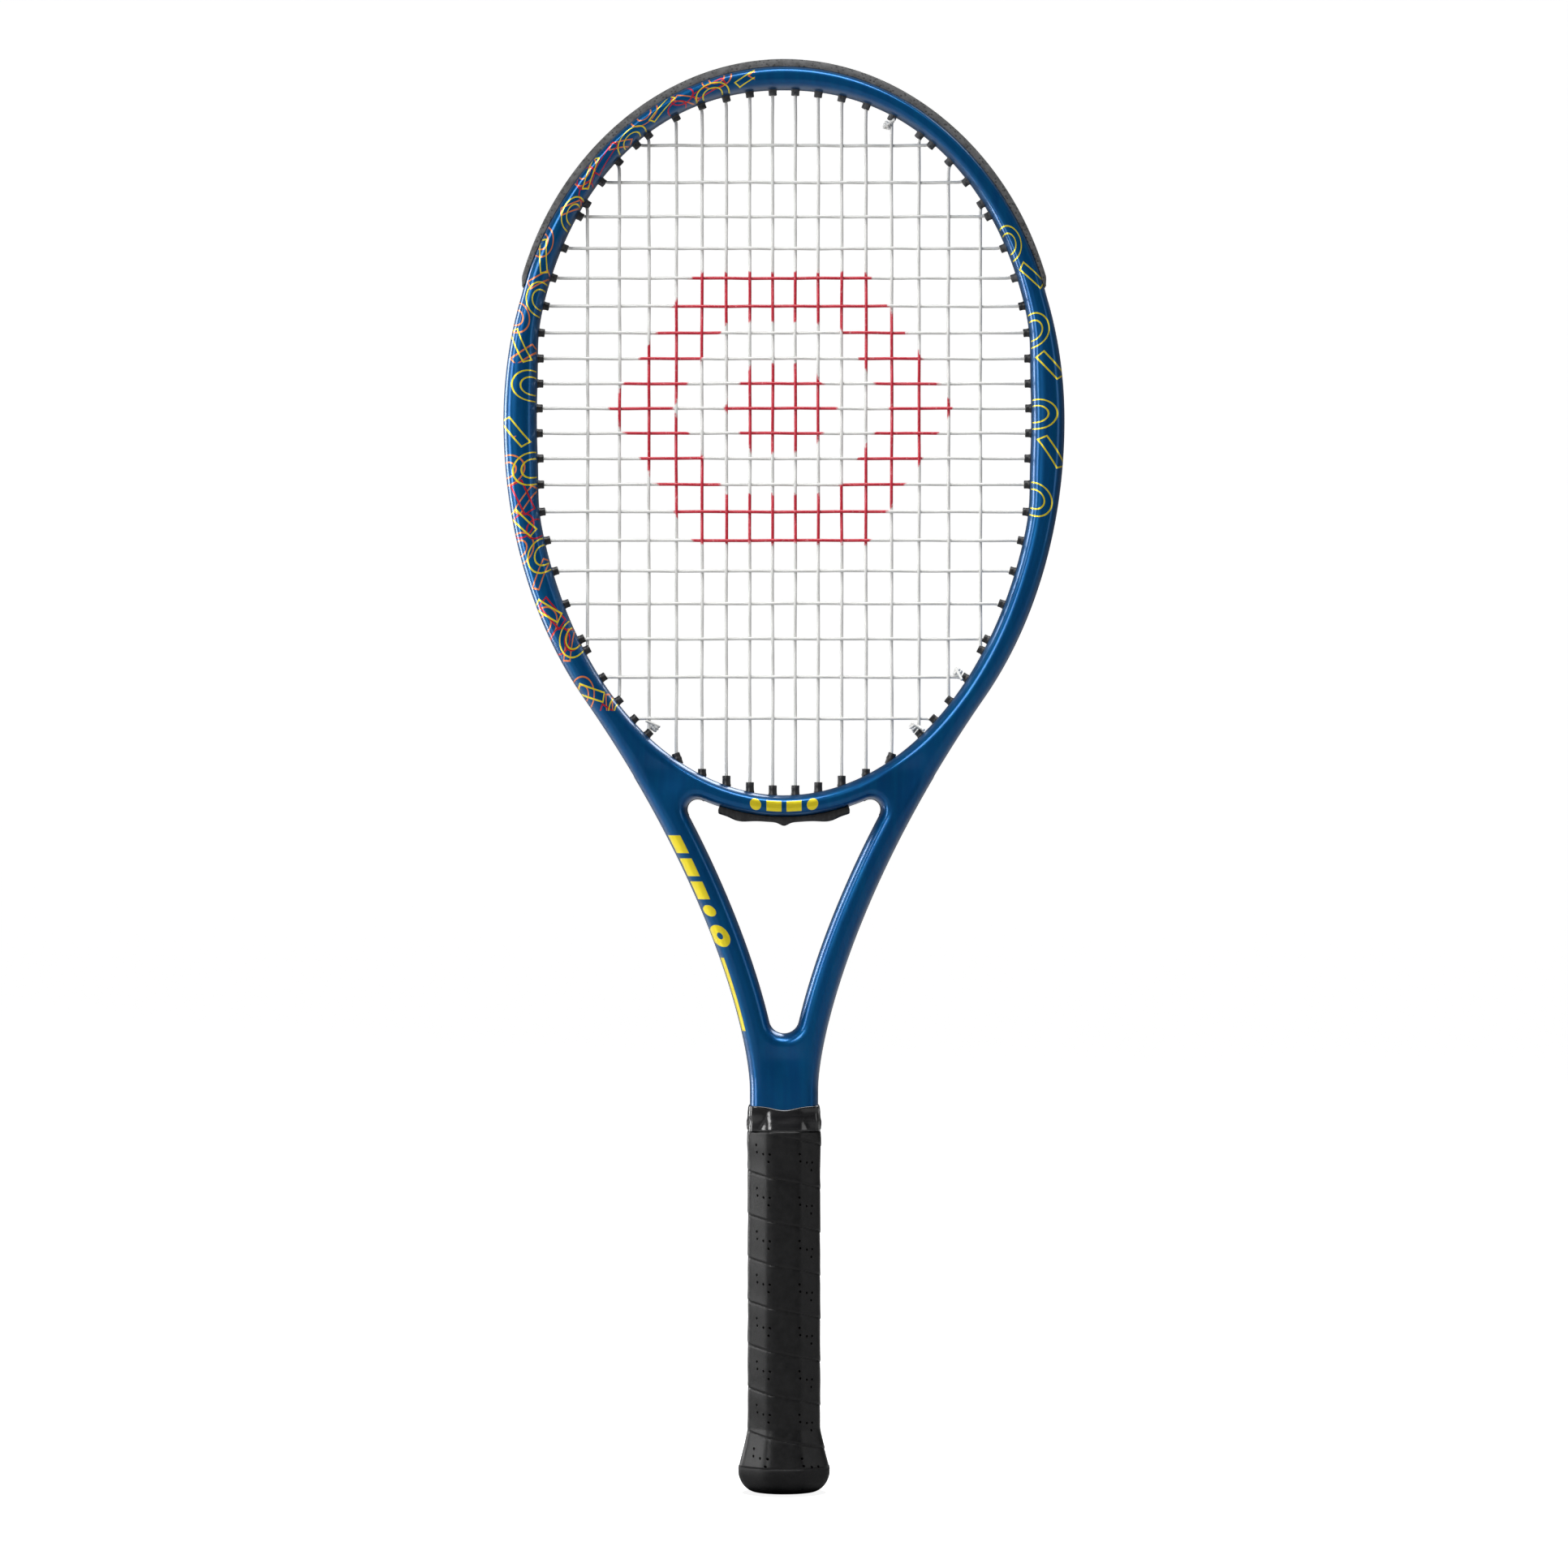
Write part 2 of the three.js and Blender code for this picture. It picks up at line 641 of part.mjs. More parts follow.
function addFrame() {
  const blank = frameBlank();
  const tang = solidOf(block(-tangHalfWidth, tangHalfWidth, -tangHalfDepth, tangHalfDepth,
    tangBottom, handleTop + edgeRound));
  const holes = allHoles.filter((hole) => !inBridge(hole)).map(frameHole);
  const hairpin = cut(blank.add(tang),
    [hairpinHollow(), bridgeSlab(bridgeHalfLength + gap), stringChannel(), ...holes]);
  addPiece('hairpin_frame', hairpin, frameLacquer);
  const bridge = blank.intersect(bridgeSlab(bridgeHalfLength));
  const bridgeHoles = allHoles.filter(inBridge).map(frameHole);
  addPiece('throat_bridge', cut(bridge, [bridgeHollow(), ...bridgeHoles]), frameLacquer);
}

// ---------------------------------------------------------------- strips and bumper
function withBarrels(base, holes) {
  return cut(joined([base, ...holes.map(barrel)]), holes.map(bore));
}

function placedBetween(low, high) {
  return allHoles.filter((hole) => (
    hole.track === rimTrack && hole.place > low && hole.place < high));
}

function bumperOffset(place) {
  const z = rimTrack.at(place, 0).z;
  const steepness = Math.sqrt(Math.max(0, 1 - ((z - headLevel) / outerRise) ** 2));
  const share = (steepness / Math.cos(radians(bumperEndAngle))) ** 10;
  return lerp(bumperStand, bumperEnd, share);
}

function addBumper() {
  const [from, to] = [bumperPlace, lastRimPlace - bumperPlace];
  const webHalf = channelHalfWidth - gap;
  const grooveHalf = webHalf - bumperWeb;
  const core = plate(band(rimTrack, from, to, stripFloor, bumperOffset), -webHalf, webHalf);
  const cover = plate(band(rimTrack, from, to, gap, bumperOffset),
    -bumperHalfDepth, bumperHalfDepth);
  const clearOfTop = (place) => bumperOffset(place) + 1;
  const groove = plate(band(rimTrack, from - 1, to + 1, stripFace, clearOfTop),
    -grooveHalf, grooveHalf);
  const base = solidOf(core).add(solidOf(cover)).subtract(solidOf(groove));
  addPiece('bumper_guard', withBarrels(base, placedBetween(from, to)), guardPlastic);
}

function addSideStrip(name, from, to) {
  const half = channelHalfWidth - gap;
  const base = solidOf(plate(band(rimTrack, from, to, stripFloor, stripFace), -half, half));
  addPiece(name, withBarrels(base, placedBetween(from, to)), grommetPlastic);
}

// Two barrels on a small plate at each upper corner of the throat opening.
function addCornerGrommet(name, side) {
  const holes = [4, 5].map((k) => mainHoles[`${k} ${side} bottom`]);
  const places = holes.map((hole) => hole.place).sort((a, b) => a - b);
  const reach = (place) => cornerMargin * throatTrack.unit(place);
  const outline = band(throatTrack, places[0] - reach(places[0]), places[1] + reach(places[1]),
    gap, gap + stripThickness);
  const half = channelHalfWidth - gap;
  addPiece(name, withBarrels(solidOf(plate(outline, -half, half)), holes), grommetPlastic);
}

// The bridge strip hangs below the bridge: two wavy rails beside the strings' groove.
function addBridgeStrip() {
  const bell = (u) => Math.exp(-(u ** 2));
  const rail = (x) => {
    const across = Math.abs(x) / bridgeStripHalf;
    const taper = 1 - railTaper * across ** 3;
    const wave = 1 - humpRise + humpRise * bell((across - humpPlace) / humpReach);
    return bridgeRailDrop * taper * wave + nibDrop * bell(across / nibReach);
  };
  const angleAt = (x) => Math.acos(x / outerHalfWidth);
  const under = (x, drop) => offsetPoint(outerEdge, -angleAt(x), drop);
  const spots = range(bridgeStripSteps + 1, (i) => (
    lerp(-bridgeStripHalf, bridgeStripHalf, i / bridgeStripSteps)));
  const top = spots.map((x) => under(x, gap));
  const wavy = spots.map((x) => under(x, gap + rail(x))).reverse();
  const thin = spots.map((x) => under(x, bridgeStripFace)).reverse();
  const half = bridgeStripHalfDepth;
  const groove = channelHalfWidth - gap - bumperWeb;
  const rails = [[-half, -groove], [groove, half]].map(([low, high]) => (
    solidOf(plate([...top, ...wavy], low, high))));
  const base = joined([solidOf(plate([...top, ...thin], -half, half)), ...rails]);
  addPiece('grommet_strip_bridge', withBarrels(base, allHoles.filter(inBridge)), grommetPlastic);
}

// ---------------------------------------------------------------- strings
// A string is swept along straight runs from point to point with its sides kept square to
// the string plane.
class StringRoute extends THREE.Curve {
  constructor(points) {
    super();
    this.points = points;
  }

  getSpacedPoints() {
    return this.points.map((p) => p.clone());
  }

  computeFrenetFrames() {
    const frames = { tangents: [], normals: [], binormals: [] };
    const through = new THREE.Vector3(0, 1, 0);
    const run = (i) => this.points[i + 1].clone().sub(this.points[i]).normalize();
    const last = this.points.length - 1;
    this.points.forEach((p, i) => {
      const tangent = run(Math.min(i, last - 1)).add(run(Math.max(i - 1, 0))).normalize();
      const normal = through.clone().cross(tangent).normalize();
      frames.tangents.push(tangent);
      frames.normals.push(normal);
      frames.binormals.push(tangent.clone().cross(normal));
    });
    return frames;
  }
}

function sweep(points) {
  const half = stringSize / 2;
  const section = new THREE.Shape([[-half, -half], [half, -half], [half, half], [-half, half]]
    .map(([u, v]) => new THREE.Vector2(u, v)));
  const route = new StringRoute(points);
  return new THREE.ExtrudeGeometry(section, { steps: points.length - 1, extrudePath: route });
}

function point(p, y) {
  return new THREE.Vector3(p.x, y, p.z);
}

function stringOffset(track) {
  return track === rimTrack ? stringLevel : bridgeStringLevel;
}

// Where a string leaves a hole, at the level of the channel's runs.
function exitOf(hole) {
  const { place } = hole.track.hit(hole.turn, hole.d, stringOffset(hole.track));
  return place;
}

// Run outside the rim from one hole to the next, on a lane beside the holes between.
function outsideRun(from, to, lane, yFrom, yTo) {
  const { track } = from;
  const offset = stringOffset(track);
  const [start, end] = [exitOf(from), exitOf(to)];
  const direction = Math.sign(end - start);
  const leave = start + direction * laneReach * track.unit(start);
  const arrive = end - direction * laneReach * track.unit(end);
  const middle = (arrive - leave) * direction > 0
    ? track.between(leave, arrive) : [(start + end) / 2];
  return [
    point(track.at(start, offset), yFrom),
    ...middle.map((place) => point(track.at(place, offset), lane)),
    point(track.at(end, offset), yTo),
  ];
}

function weaveSign(mainIndex, j) {
  return (mainIndex + j) % 2 === 0 ? 1 : -1;
}

function mainIndex(k, side) {
  return side < 0 ? mainsPerSide - k : mainsPerSide - 1 + k;
}

// The stretch of one main inside the head, from its lower bend to its upper bend.
function mainInside(k, side) {
  const bottom = mainHoles[`${k} ${side} bottom`];
  const top = mainHoles[`${k} ${side} top`];
  const x = side * mainPlace(k);
  const level = (j) => crossHoles[`${j} 1`].turn.z;
  const crossings = range(crossCount, (i) => crossCount - i)
    .filter((j) => level(j) > bottom.turn.z && level(j) < top.turn.z)
    .filter((j) => Math.abs(crossHoles[`${j} 1`].turn.x) > mainPlace(k))
    .map((j) => ({ z: level(j), y: weaveSign(mainIndex(k, side), j) * weaveRise }));
  const ends = [bottom, top].map((hole, i) => {
    const near = crossings[i === 0 ? 0 : crossings.length - 1];
    if (!hole.tieOff) return [point(hole.turn, Math.sign(near.y) * mouthLean)];
    const inward = i === 0 ? 1 : -1;
    const y = ownShift(k, side);
    const clear = knotStart + knotLength + gap;
    return [0, clear].map((up) => new THREE.Vector3(hole.turn.x, y, hole.turn.z + inward * up));
  });
  return [
    ...ends[0],
    ...crossings.map(({ z, y }) => new THREE.Vector3(x, y, z)),
    ...ends[1].reverse(),
  ];
}

function ownShift(k, side) {
  return -side * sharedShift * (k === mainTieOff ? 1 : -1);
}

// The tail that comes in through a shared barrel and stops at the knot.
function tailInside(hole, y, inward) {
  const stop = knotStart - gap;
  return [
    point(hole.turn, y),
    new THREE.Vector3(hole.turn.x + inward.x * stop, y, hole.turn.z + inward.z * stop),
  ];
}

function addMainString() {
  const lane = (side) => side * laneShift;
  const half = (side) => {
    const hole = (k, end) => mainHoles[`${k} ${side} ${end}`];
    const points = [];
    for (let k = 1; k <= mainsPerSide; k += 1) {
      const upward = k % 2 === 1;
      const inside = mainInside(k, side);
      points.push(...(upward ? inside : inside.reverse()));
      if (k === mainsPerSide) break;
      const end = upward ? 'top' : 'bottom';
      const [here, next] = [hole(k, end), hole(k + 1, end)];
      const shift = (h, n) => (h.tieOff ? ownShift(n, side) : 0);
      points.push(...outsideRun(here, next, lane(side), shift(here, k), shift(next, k + 1)));
    }
    const shared = hole(mainTieOff, 'bottom');
    const tail = -ownShift(mainTieOff, side);
    points.push(...outsideRun(hole(mainsPerSide, 'bottom'), shared, side * secondLane, 0, tail));
    points.push(...tailInside(shared, tail, { x: 0, z: 1 }));
    return points;
  };
  const [left, right] = sides.map(half);
  const start = outsideRun(mainHoles['1 -1 bottom'], mainHoles['1 1 bottom'], laneShift, 0, 0);
  addPiece('main_string', sweep([...left.reverse(), ...start, ...right]), stringPolymer);
}

function addCrossString() {
  const hole = (j, side) => crossHoles[`${j} ${side}`];
  const inside = (j, side) => {
    const shared = hole(j, side);
    if (!shared.tieOff) return [point(shared.turn, 0)];
    const clear = knotStart + knotLength + gap;
    const stops = [[0, sharedShift], [clear, sharedShift], [clear + 2 * stringSize, 0]];
    return stops.map(([back, y]) => (
      new THREE.Vector3(shared.turn.x - side * back, y, shared.turn.z)));
  };
  const shared = mainHoles[`${crossStartMain} 1 top`];
  const tail = -ownShift(crossStartMain, 1);
  const lane = (side) => -side * laneShift;
  const points = [
    ...tailInside(shared, tail, { x: 0, z: -1 }).reverse(),
    ...outsideRun(shared, hole(1, 1), lane(1), tail, 0),
  ];
  for (let j = 1; j <= crossCount; j += 1) {
    const side = j % 2 === 1 ? 1 : -1;
    points.push(...inside(j, side), ...inside(j, -side).reverse());
    if (j === crossCount) break;
    const [here, next] = [hole(j, -side), hole(j + 1, -side)];
    const shift = (h) => (h.tieOff ? sharedShift : 0);
    points.push(...outsideRun(here, next, lane(-side), shift(here), shift(next)));
  }
  const last = hole(crossEndCross, 1);
  points.push(...outsideRun(hole(crossCount, 1), last, lane(1), 0, -sharedShift));
  points.push(...tailInside(last, -sharedShift, { x: -1, z: 0 }));
  addPiece('cross_string', sweep(points), stringPolymer);
}

// A knot wraps the string that it is tied to, with a short tail standing out of it.
function addKnot(name, hole, y, inward) {
  const inside = stringSize / 2 * Math.SQRT2 + gap / 2;
  const shoulder = knotRadius - stringSize / 3;
  const ease = knotLength / 3;
  const profile = [[inside, 0], [shoulder, 0], [knotRadius, ease],
    [knotRadius, knotLength - ease], [shoulder, knotLength], [inside, knotLength], [inside, 0]];
  const wrap = new THREE.LatheGeometry(
    profile.map(([r, z]) => new THREE.Vector2(r, z)), knotSides);
  const tailSize = stringSize - gap;
  const tail = new THREE.BoxGeometry(tailSize, tailSize, knotTail);
  tail.rotateX(knotTailLean);
  tail.translate(0, knotLength / 2, -knotRadius - knotTail / 3);
  const knot = geometryOf(solidOf(wrap).add(solidOf(tail)));
  knot.translate(0, knotStart, 0);
  if (inward.z) knot.rotateX(Math.PI / 2 * inward.z);
  else knot.rotateZ(Math.PI / 2).rotateX(Math.PI);
  knot.translate(hole.turn.x, y, hole.turn.z);
  addPiece(name, knot, stringPolymer);
}

// ---------------------------------------------------------------- handle
// A solid with a flat-sided octagonal section: profile points are half-width and level.
function octagon(profile) {
  const corner = 1 / Math.cos(Math.PI / 8);
  const points = profile.map(([half, z]) => new THREE.Vector2(half * corner, z));
  const geometry = new THREE.LatheGeometry(points, 8, Math.PI / 8);
  geometry.rotateX(Math.PI / 2);
  return geometry.scale(1, handleDepthRatio, 1);
}

// Outer half-width of the grip and butt at a level.
function flare(z) {
  const f = THREE.MathUtils.clamp((flareTop - z) / (flareTop - flareLevel), 0, 1);
  return gripHalfWidth + (flareHalfWidth - gripHalfWidth) * f ** flarePower;
}

const flareLevels = range(flareSteps + 1, (i) => lerp(gripStart, flareTop, i / flareSteps));

function buttCap() {
  const under = flareLevels.map((z) => [flare(z) - gripThickness - gap, z]);
  const lip = capTop;
  const outer = [
    [0, 0], [buttFlatHalfWidth, 0], buttShoulder, buttBelly,
    [flareHalfWidth, flareLevel], [flareHalfWidth, gripStart - gap],
    [under[0][0], gripStart - gap], ...under.slice(0, -1),
    [palletHalfWidth, lip], [0, lip],
  ];
  const pocket = [[0, capFloor], [capPocketHalf, capFloor], [capPocketHalf, lip + 1], [0, lip + 1]];
  const doorHole = [[0, -1], [doorHalfWidth + gap, -1], [doorHalfWidth + gap, capFloor + 1],
    [0, capFloor + 1]];
  return cut(solidOf(octagon(outer)), [solidOf(octagon(pocket)), solidOf(octagon(doorHole))]);
}

function palletPair() {
  const outer = [[0, palletBottom], [capPocketHalf - gap, palletBottom],
    [capPocketHalf - gap, capTop + gap], [palletHalfWidth, capTop + gap],
    [palletHalfWidth, handleTop - 2 * gap], [0, handleTop - 2 * gap]];
  const pocket = block(-tangHalfWidth - gap, tangHalfWidth + gap,
    -tangHalfDepth - gap, tangHalfDepth + gap, 0, racketLength);
  const both = solidOf(octagon(outer)).subtract(solidOf(pocket));
  const reach = gripHalfWidth * 2;
  return sides.map((side) => {
    const [near, far] = [side * gap / 2, side * reach];
    const halfSpace = block(-reach, reach, Math.min(near, far), Math.max(near, far), 0, racketLength);
    return both.intersect(solidOf(halfSpace));
  });
}

// A staple: a crown that lies on the cap under the grip, and two legs into the pallets.
function stapleShape(clearance) {
  const crownFace = flare(stapleLevel) - gripThickness - 2 * gap;
  const half = stapleWire / 2 + clearance;
  const outward = clearance ? staplePocketReach : 0;
  const crown = block(crownFace - stapleWire - clearance, crownFace + outward,
    -stapleSpan / 2 - half, stapleSpan / 2 + half, stapleLevel - half, stapleLevel + half);
  const legs = sides.map((side) => block(crownFace - stapleWire - stapleLeg - clearance, crownFace,
    side * stapleSpan / 2 - half, side * stapleSpan / 2 + half,
    stapleLevel - half, stapleLevel + half));
  return joined([crown, ...legs].map(solidOf));
}

// The four staples stand on the flats at the left, right, front and back.
const stapleSides = [
  { name: 'cap_staple_right', turn: 0, shift: 0 },
  { name: 'cap_staple_back', turn: 90, shift: 1 },
  { name: 'cap_staple_left', turn: 180, shift: 0 },
  { name: 'cap_staple_front', turn: 270, shift: 1 },
];

function stapleAt({ turn, shift }, clearance) {
  const sink = shift * (1 - handleDepthRatio) * (flare(stapleLevel) - gripThickness - gap);
  return stapleShape(clearance).translate([-sink, 0, 0]).rotate([0, 0, turn]);
}

function addHandle() {
  const staplePockets = stapleSides.map((spot) => stapleAt(spot, gap));
  addPiece('butt_cap', cut(buttCap(), staplePockets), capPlastic);
  const names = ['handle_pallet_front', 'handle_pallet_back'];
  palletPair().forEach((pallet, i) => addPiece(names[i], cut(pallet, staplePockets), palletFoam));
  for (const spot of stapleSides) addPiece(spot.name, stapleAt(spot, 0), stapleSteel);
  const skin = flareLevels.map((z) => [flare(z), z]);
  const lining = flareLevels.map((z) => [flare(z) - gripThickness, z]);
  const grip = [...skin, [gripHalfWidth, handleTop], [gripHalfWidth - gripThickness, handleTop],
    ...lining.reverse(), skin[0]];
  addPiece('grip_wrap', octagon(grip), gripSkin);
}

function addTrapDoor() {
  const top = doorRecess + doorThickness;
  const lid = octagon([[0, doorRecess], [doorHalfWidth, doorRecess], [doorHalfWidth, top], [0, top]]);
  const legs = sides.map((side) => {
    const [near, far] = [side * (doorHalfWidth - doorLegThickness), side * doorHalfWidth];
    return block(Math.min(near, far), Math.max(near, far), -doorLegWidth / 2, doorLegWidth / 2,
      top - doorThickness / 2, top + doorLegHeight);
  });
  addPiece('trap_door', joined([lid, ...legs].map(solidOf)), capPlastic);
}

// The collar is a rubber tube with a rectangular section, cut off at its corners.
function addCollar() {
  const [bottom, top] = [handleTop + gap, collarTop];
  const outline = (halfWidth, halfDepth, corner) => [
    [halfWidth - corner, -halfDepth], [halfWidth, corner - halfDepth],
    [halfWidth, halfDepth - corner], [halfWidth - corner, halfDepth],
    [corner - halfWidth, halfDepth], [-halfWidth, halfDepth - corner],
    [-halfWidth, corner - halfDepth], [corner - halfWidth, -halfDepth],
  ].map(([x, y]) => new THREE.Vector2(x, y));
  const shape = new THREE.Shape(outline(collarHalfWidth, collarHalfDepth, collarCorner));
  shape.holes = [new THREE.Path(outline(shaftHalfWidth + gap, shaftDepth / 2 + gap, gap))];
  const collar = new THREE.ExtrudeGeometry(shape, {
    depth: top - bottom - 2 * collarEase,
    bevelThickness: collarEase,
    bevelSize: collarEase / 2,
    bevelOffset: -collarEase / 2,
    bevelSegments: 1,
  });
  addPiece('grip_collar', collar.translate(0, 0, bottom + collarEase), collarRubber);
}

addFrame();
addBumper();
addSideStrip('grommet_strip_right', channelEnd + gap, bumperPlace - stripGap);
addSideStrip('grommet_strip_left', lastRimPlace - bumperPlace + stripGap,
  lastRimPlace - channelEnd - gap);
addBridgeStrip();
addCornerGrommet('corner_grommet_left', -1);
addCornerGrommet('corner_grommet_right', 1);
addMainString();
addCrossString();
for (const side of sides) {
  addKnot(`main_knot_${side < 0 ? 'left' : 'right'}`, mainHoles[`${mainTieOff} ${side} bottom`],
    ownShift(mainTieOff, side), { x: 0, z: 1 });
}
addKnot('cross_knot_start', mainHoles[`${crossStartMain} 1 top`],
  ownShift(crossStartMain, 1), { x: 0, z: -1 });
addKnot('cross_knot_end', crossHoles[`${crossEndCross} 1`], sharedShift, { x: -1, z: 0 });
addHandle();
addTrapDoor();
addCollar();

export default racket;
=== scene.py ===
"""Looks of a strung tennis racket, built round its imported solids.

The racket stands on its butt: X runs across the string bed, Y through it and Z up it.
Shapes are worked out in millimetres, in the plane of the strings first, and are given
their depth after that. Every mesh is stored in metres, in the same place as its solid.
"""
import math

import bmesh
import bpy
import numpy as np
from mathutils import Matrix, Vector


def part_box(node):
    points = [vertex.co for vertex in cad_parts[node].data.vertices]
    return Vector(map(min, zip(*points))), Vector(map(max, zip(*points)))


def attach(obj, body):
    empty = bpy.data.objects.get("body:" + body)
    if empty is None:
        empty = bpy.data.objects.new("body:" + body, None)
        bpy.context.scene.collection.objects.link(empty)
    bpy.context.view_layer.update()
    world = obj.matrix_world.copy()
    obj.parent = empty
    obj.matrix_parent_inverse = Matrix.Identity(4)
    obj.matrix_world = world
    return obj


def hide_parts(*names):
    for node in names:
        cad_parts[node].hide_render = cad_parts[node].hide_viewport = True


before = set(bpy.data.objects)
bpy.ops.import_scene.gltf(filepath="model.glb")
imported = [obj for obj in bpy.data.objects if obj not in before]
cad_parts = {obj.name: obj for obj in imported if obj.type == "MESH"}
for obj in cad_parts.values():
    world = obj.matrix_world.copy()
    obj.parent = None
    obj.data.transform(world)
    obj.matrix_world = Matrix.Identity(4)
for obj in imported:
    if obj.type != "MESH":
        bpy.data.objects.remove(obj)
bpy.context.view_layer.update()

MM = 0.001
UP = math.pi / 2


def levels(node):
    """The lowest and highest corners of a solid, in millimetres."""
    low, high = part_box(node)
    return np.array(low) / MM, np.array(high) / MM


# ------------------------------------------------------------ sizes, in millimetres
TOP = levels("bumper_guard")[1][2]
HANDLE_TOP = levels("grip_wrap")[1][2]
GRIP_START = levels("grip_wrap")[0][2]
COLLAR_TOP = levels("grip_collar")[1][2]
STRIP_FOOT = levels("grommet_strip_right")[0][2]
BUMPER_FOOT = levels("bumper_guard")[0][2]

HEAD_HALF = 121.0
HEAD_RISE = 158.6
HEAD_DROP = 179.4
HEAD_FULLNESS = 2.17
RIM_SIDE = 13.5
RIM_CROWN = 9.7
RIM_BRIDGE = 10.6
SIDE_BULGE = 2.6
SIDE_BULGE_REACH = 36.0
BUMPER_STAND = 4.5
BUMPER_END_STAND = 2.2
HEAD_LEVEL = TOP - BUMPER_STAND - RIM_CROWN - HEAD_RISE
OUTER_HALF = HEAD_HALF + RIM_SIDE
OUTER_RISE = HEAD_RISE + RIM_CROWN
OUTER_DROP = HEAD_DROP + RIM_BRIDGE

BEAM_HALF = 12.0
SHAFT_HALF_DEPTH = 11.0
SHAFT_HALF = 16.35
SHAFT_TOP = 192.0
ARM_WIDTH = 14.1
ARM_JOIN_DROP = 133.0
ARM_PULL_HEAD = 107.5
ARM_PULL_SHAFT = 25.0
THROAT_CORNER = 5.0
CROTCH_RADIUS = 7.2
CROTCH_FOOT_DROP = 14.0
JUNCTION_ANGLE = math.radians(-61)
JUNCTION_LEVEL = 341.0
GROOVE_DEPTH = 3.0
GROOVE_HALF = 3.9

MAINS_PER_SIDE = 8
BRIDGE_MAINS = 3
THROAT_MAINS = 5
CROSSES = 20
MAIN_PITCH = 10.85
MAIN_WIDEN = 0.0302
CROSS_PITCH = 11.85
CROSS_WIDEN = 0.0283
CROSS_TIGHTEST = 9.8
CROSS_LIFT = 8.3
AIM_DEPTH = 1.5
STRING_RADIUS = 0.75
BARREL_RADIUS = 2.0
BARREL_STAND = 2.8
BRIDGE_BARREL_STAND = 4.6
MAIN_TIE_OFF = 6
START_MAIN = 5
END_CROSS = 19

GRIP_HALF = 17.5
DEPTH_RATIO = 0.885
FLARE_TOP = 31.0
FLARE_LEVEL = 11.0
FLARE_HALF = 22.0
TAPE_PITCH = 20.7
EDGE_SHARE = 0.25


# ------------------------------------------------------------ meshes
WELD_REACH = 0.004
SIDE_NAMES = {-1: "left", 1: "right"}


def grid_faces(rows, columns, first=0, wrap_rows=False, wrap_columns=False):
    """Quads that join neighbouring points of a grid stored row by row."""
    i = np.arange(rows if wrap_rows else rows - 1)[:, None]
    j = np.arange(columns if wrap_columns else columns - 1)[None, :]
    down, right = (i + 1) % rows, (j + 1) % columns
    corners = [i * columns + j, i * columns + right, down * columns + right, down * columns + j]
    quads = np.stack([np.broadcast_to(corner, (i.size, j.size)) for corner in corners], -1)
    return (quads + first).reshape(-1, 4)


class Shape:
    """Points in millimetres and faces, gathered from several grids into one mesh."""

    def __init__(self):
        self.points, self.faces, self.count = [], [], 0

    def add(self, points, faces):
        """Adds points and faces that are numbered from the first of these points."""
        self.points.append(points)
        self.faces += (faces + self.count).tolist()
        self.count += len(points)

    def grid(self, points, wrap_rows=False, wrap_columns=False, caps=False):
        """Adds a grid of points. Caps close its first and its last row, each with one face."""
        rows, columns = points.shape[:2]
        start, stop = self.count, self.count + rows * columns
        self.faces += grid_faces(rows, columns, start, wrap_rows, wrap_columns).tolist()
        if caps:
            self.faces += [list(range(start, start + columns))[::-1],
                           list(range(stop - columns, stop))]
        self.points.append(points.reshape(-1, 3))
        self.count = stop

    def piece(self, name, material, nodes, body="racket", weld=False, sharp=None):
        """Makes the object, turns its faces outwards and gives it its finish and its body.
        Welding also fills the holes that are left, and an angle keeps sharper edges sharp."""
        mesh = bpy.data.meshes.new(name)
        mesh.from_pydata((np.concatenate(self.points) * MM).tolist(), [], self.faces)
        work = bmesh.new()
        work.from_mesh(mesh)
        if weld:
            bmesh.ops.remove_doubles(work, verts=work.verts, dist=WELD_REACH * MM)
            bmesh.ops.holes_fill(work, edges=[e for e in work.edges if e.is_boundary])
        bmesh.ops.recalc_face_normals(work, faces=work.faces)
        work.to_mesh(mesh)
        work.free()
        mesh.shade_smooth()
        if sharp:
            mesh.set_sharp_from_angle(angle=math.radians(sharp))
        mesh.materials.append(material)
        made = bpy.data.objects.new(name, mesh)
        bpy.context.scene.collection.objects.link(made)
        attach(made, body)
        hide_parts(*nodes)
        return made


def mix(a, b, f):
    """The value this share of the way from a to b."""
    return a + (b - a) * f


def ease(x, low, high):
    """Smoothly from 0 at low to 1 at high."""
    t = np.clip((np.asarray(x, float) - low) / (high - low), 0, 1)
    return t * t * (3 - 2 * t)


def unit(v):
    """Vectors shortened or stretched to a length of one."""
    return v / np.linalg.norm(v, axis=-1, keepdims=True)


def normals_of(points):
    """Unit normals of a line of points in the string plane, to the right of its run."""
    run = unit(np.gradient(points, axis=0))
    return np.stack([run[:, 1], -run[:, 0]], -1)


# ------------------------------------------------------------ outlines in the string plane
def inner_edge(angle):
    """The head's inner edge: a superellipse above the widest level, an ellipse below it,
    drawn in at the widest level where the rim swells."""
    c, s = np.cos(angle), np.sin(angle)
    power = 2 / np.where(s >= 0, HEAD_FULLNESS, 2.0)
    rise = np.where(s >= 0, HEAD_RISE, HEAD_DROP) * np.sign(s) * np.abs(s) ** power
    swell = SIDE_BULGE * np.exp(-(rise / SIDE_BULGE_REACH) ** 4)
    return np.stack([np.sign(c) * np.abs(c) ** power * (HEAD_HALF - swell), HEAD_LEVEL + rise], -1)


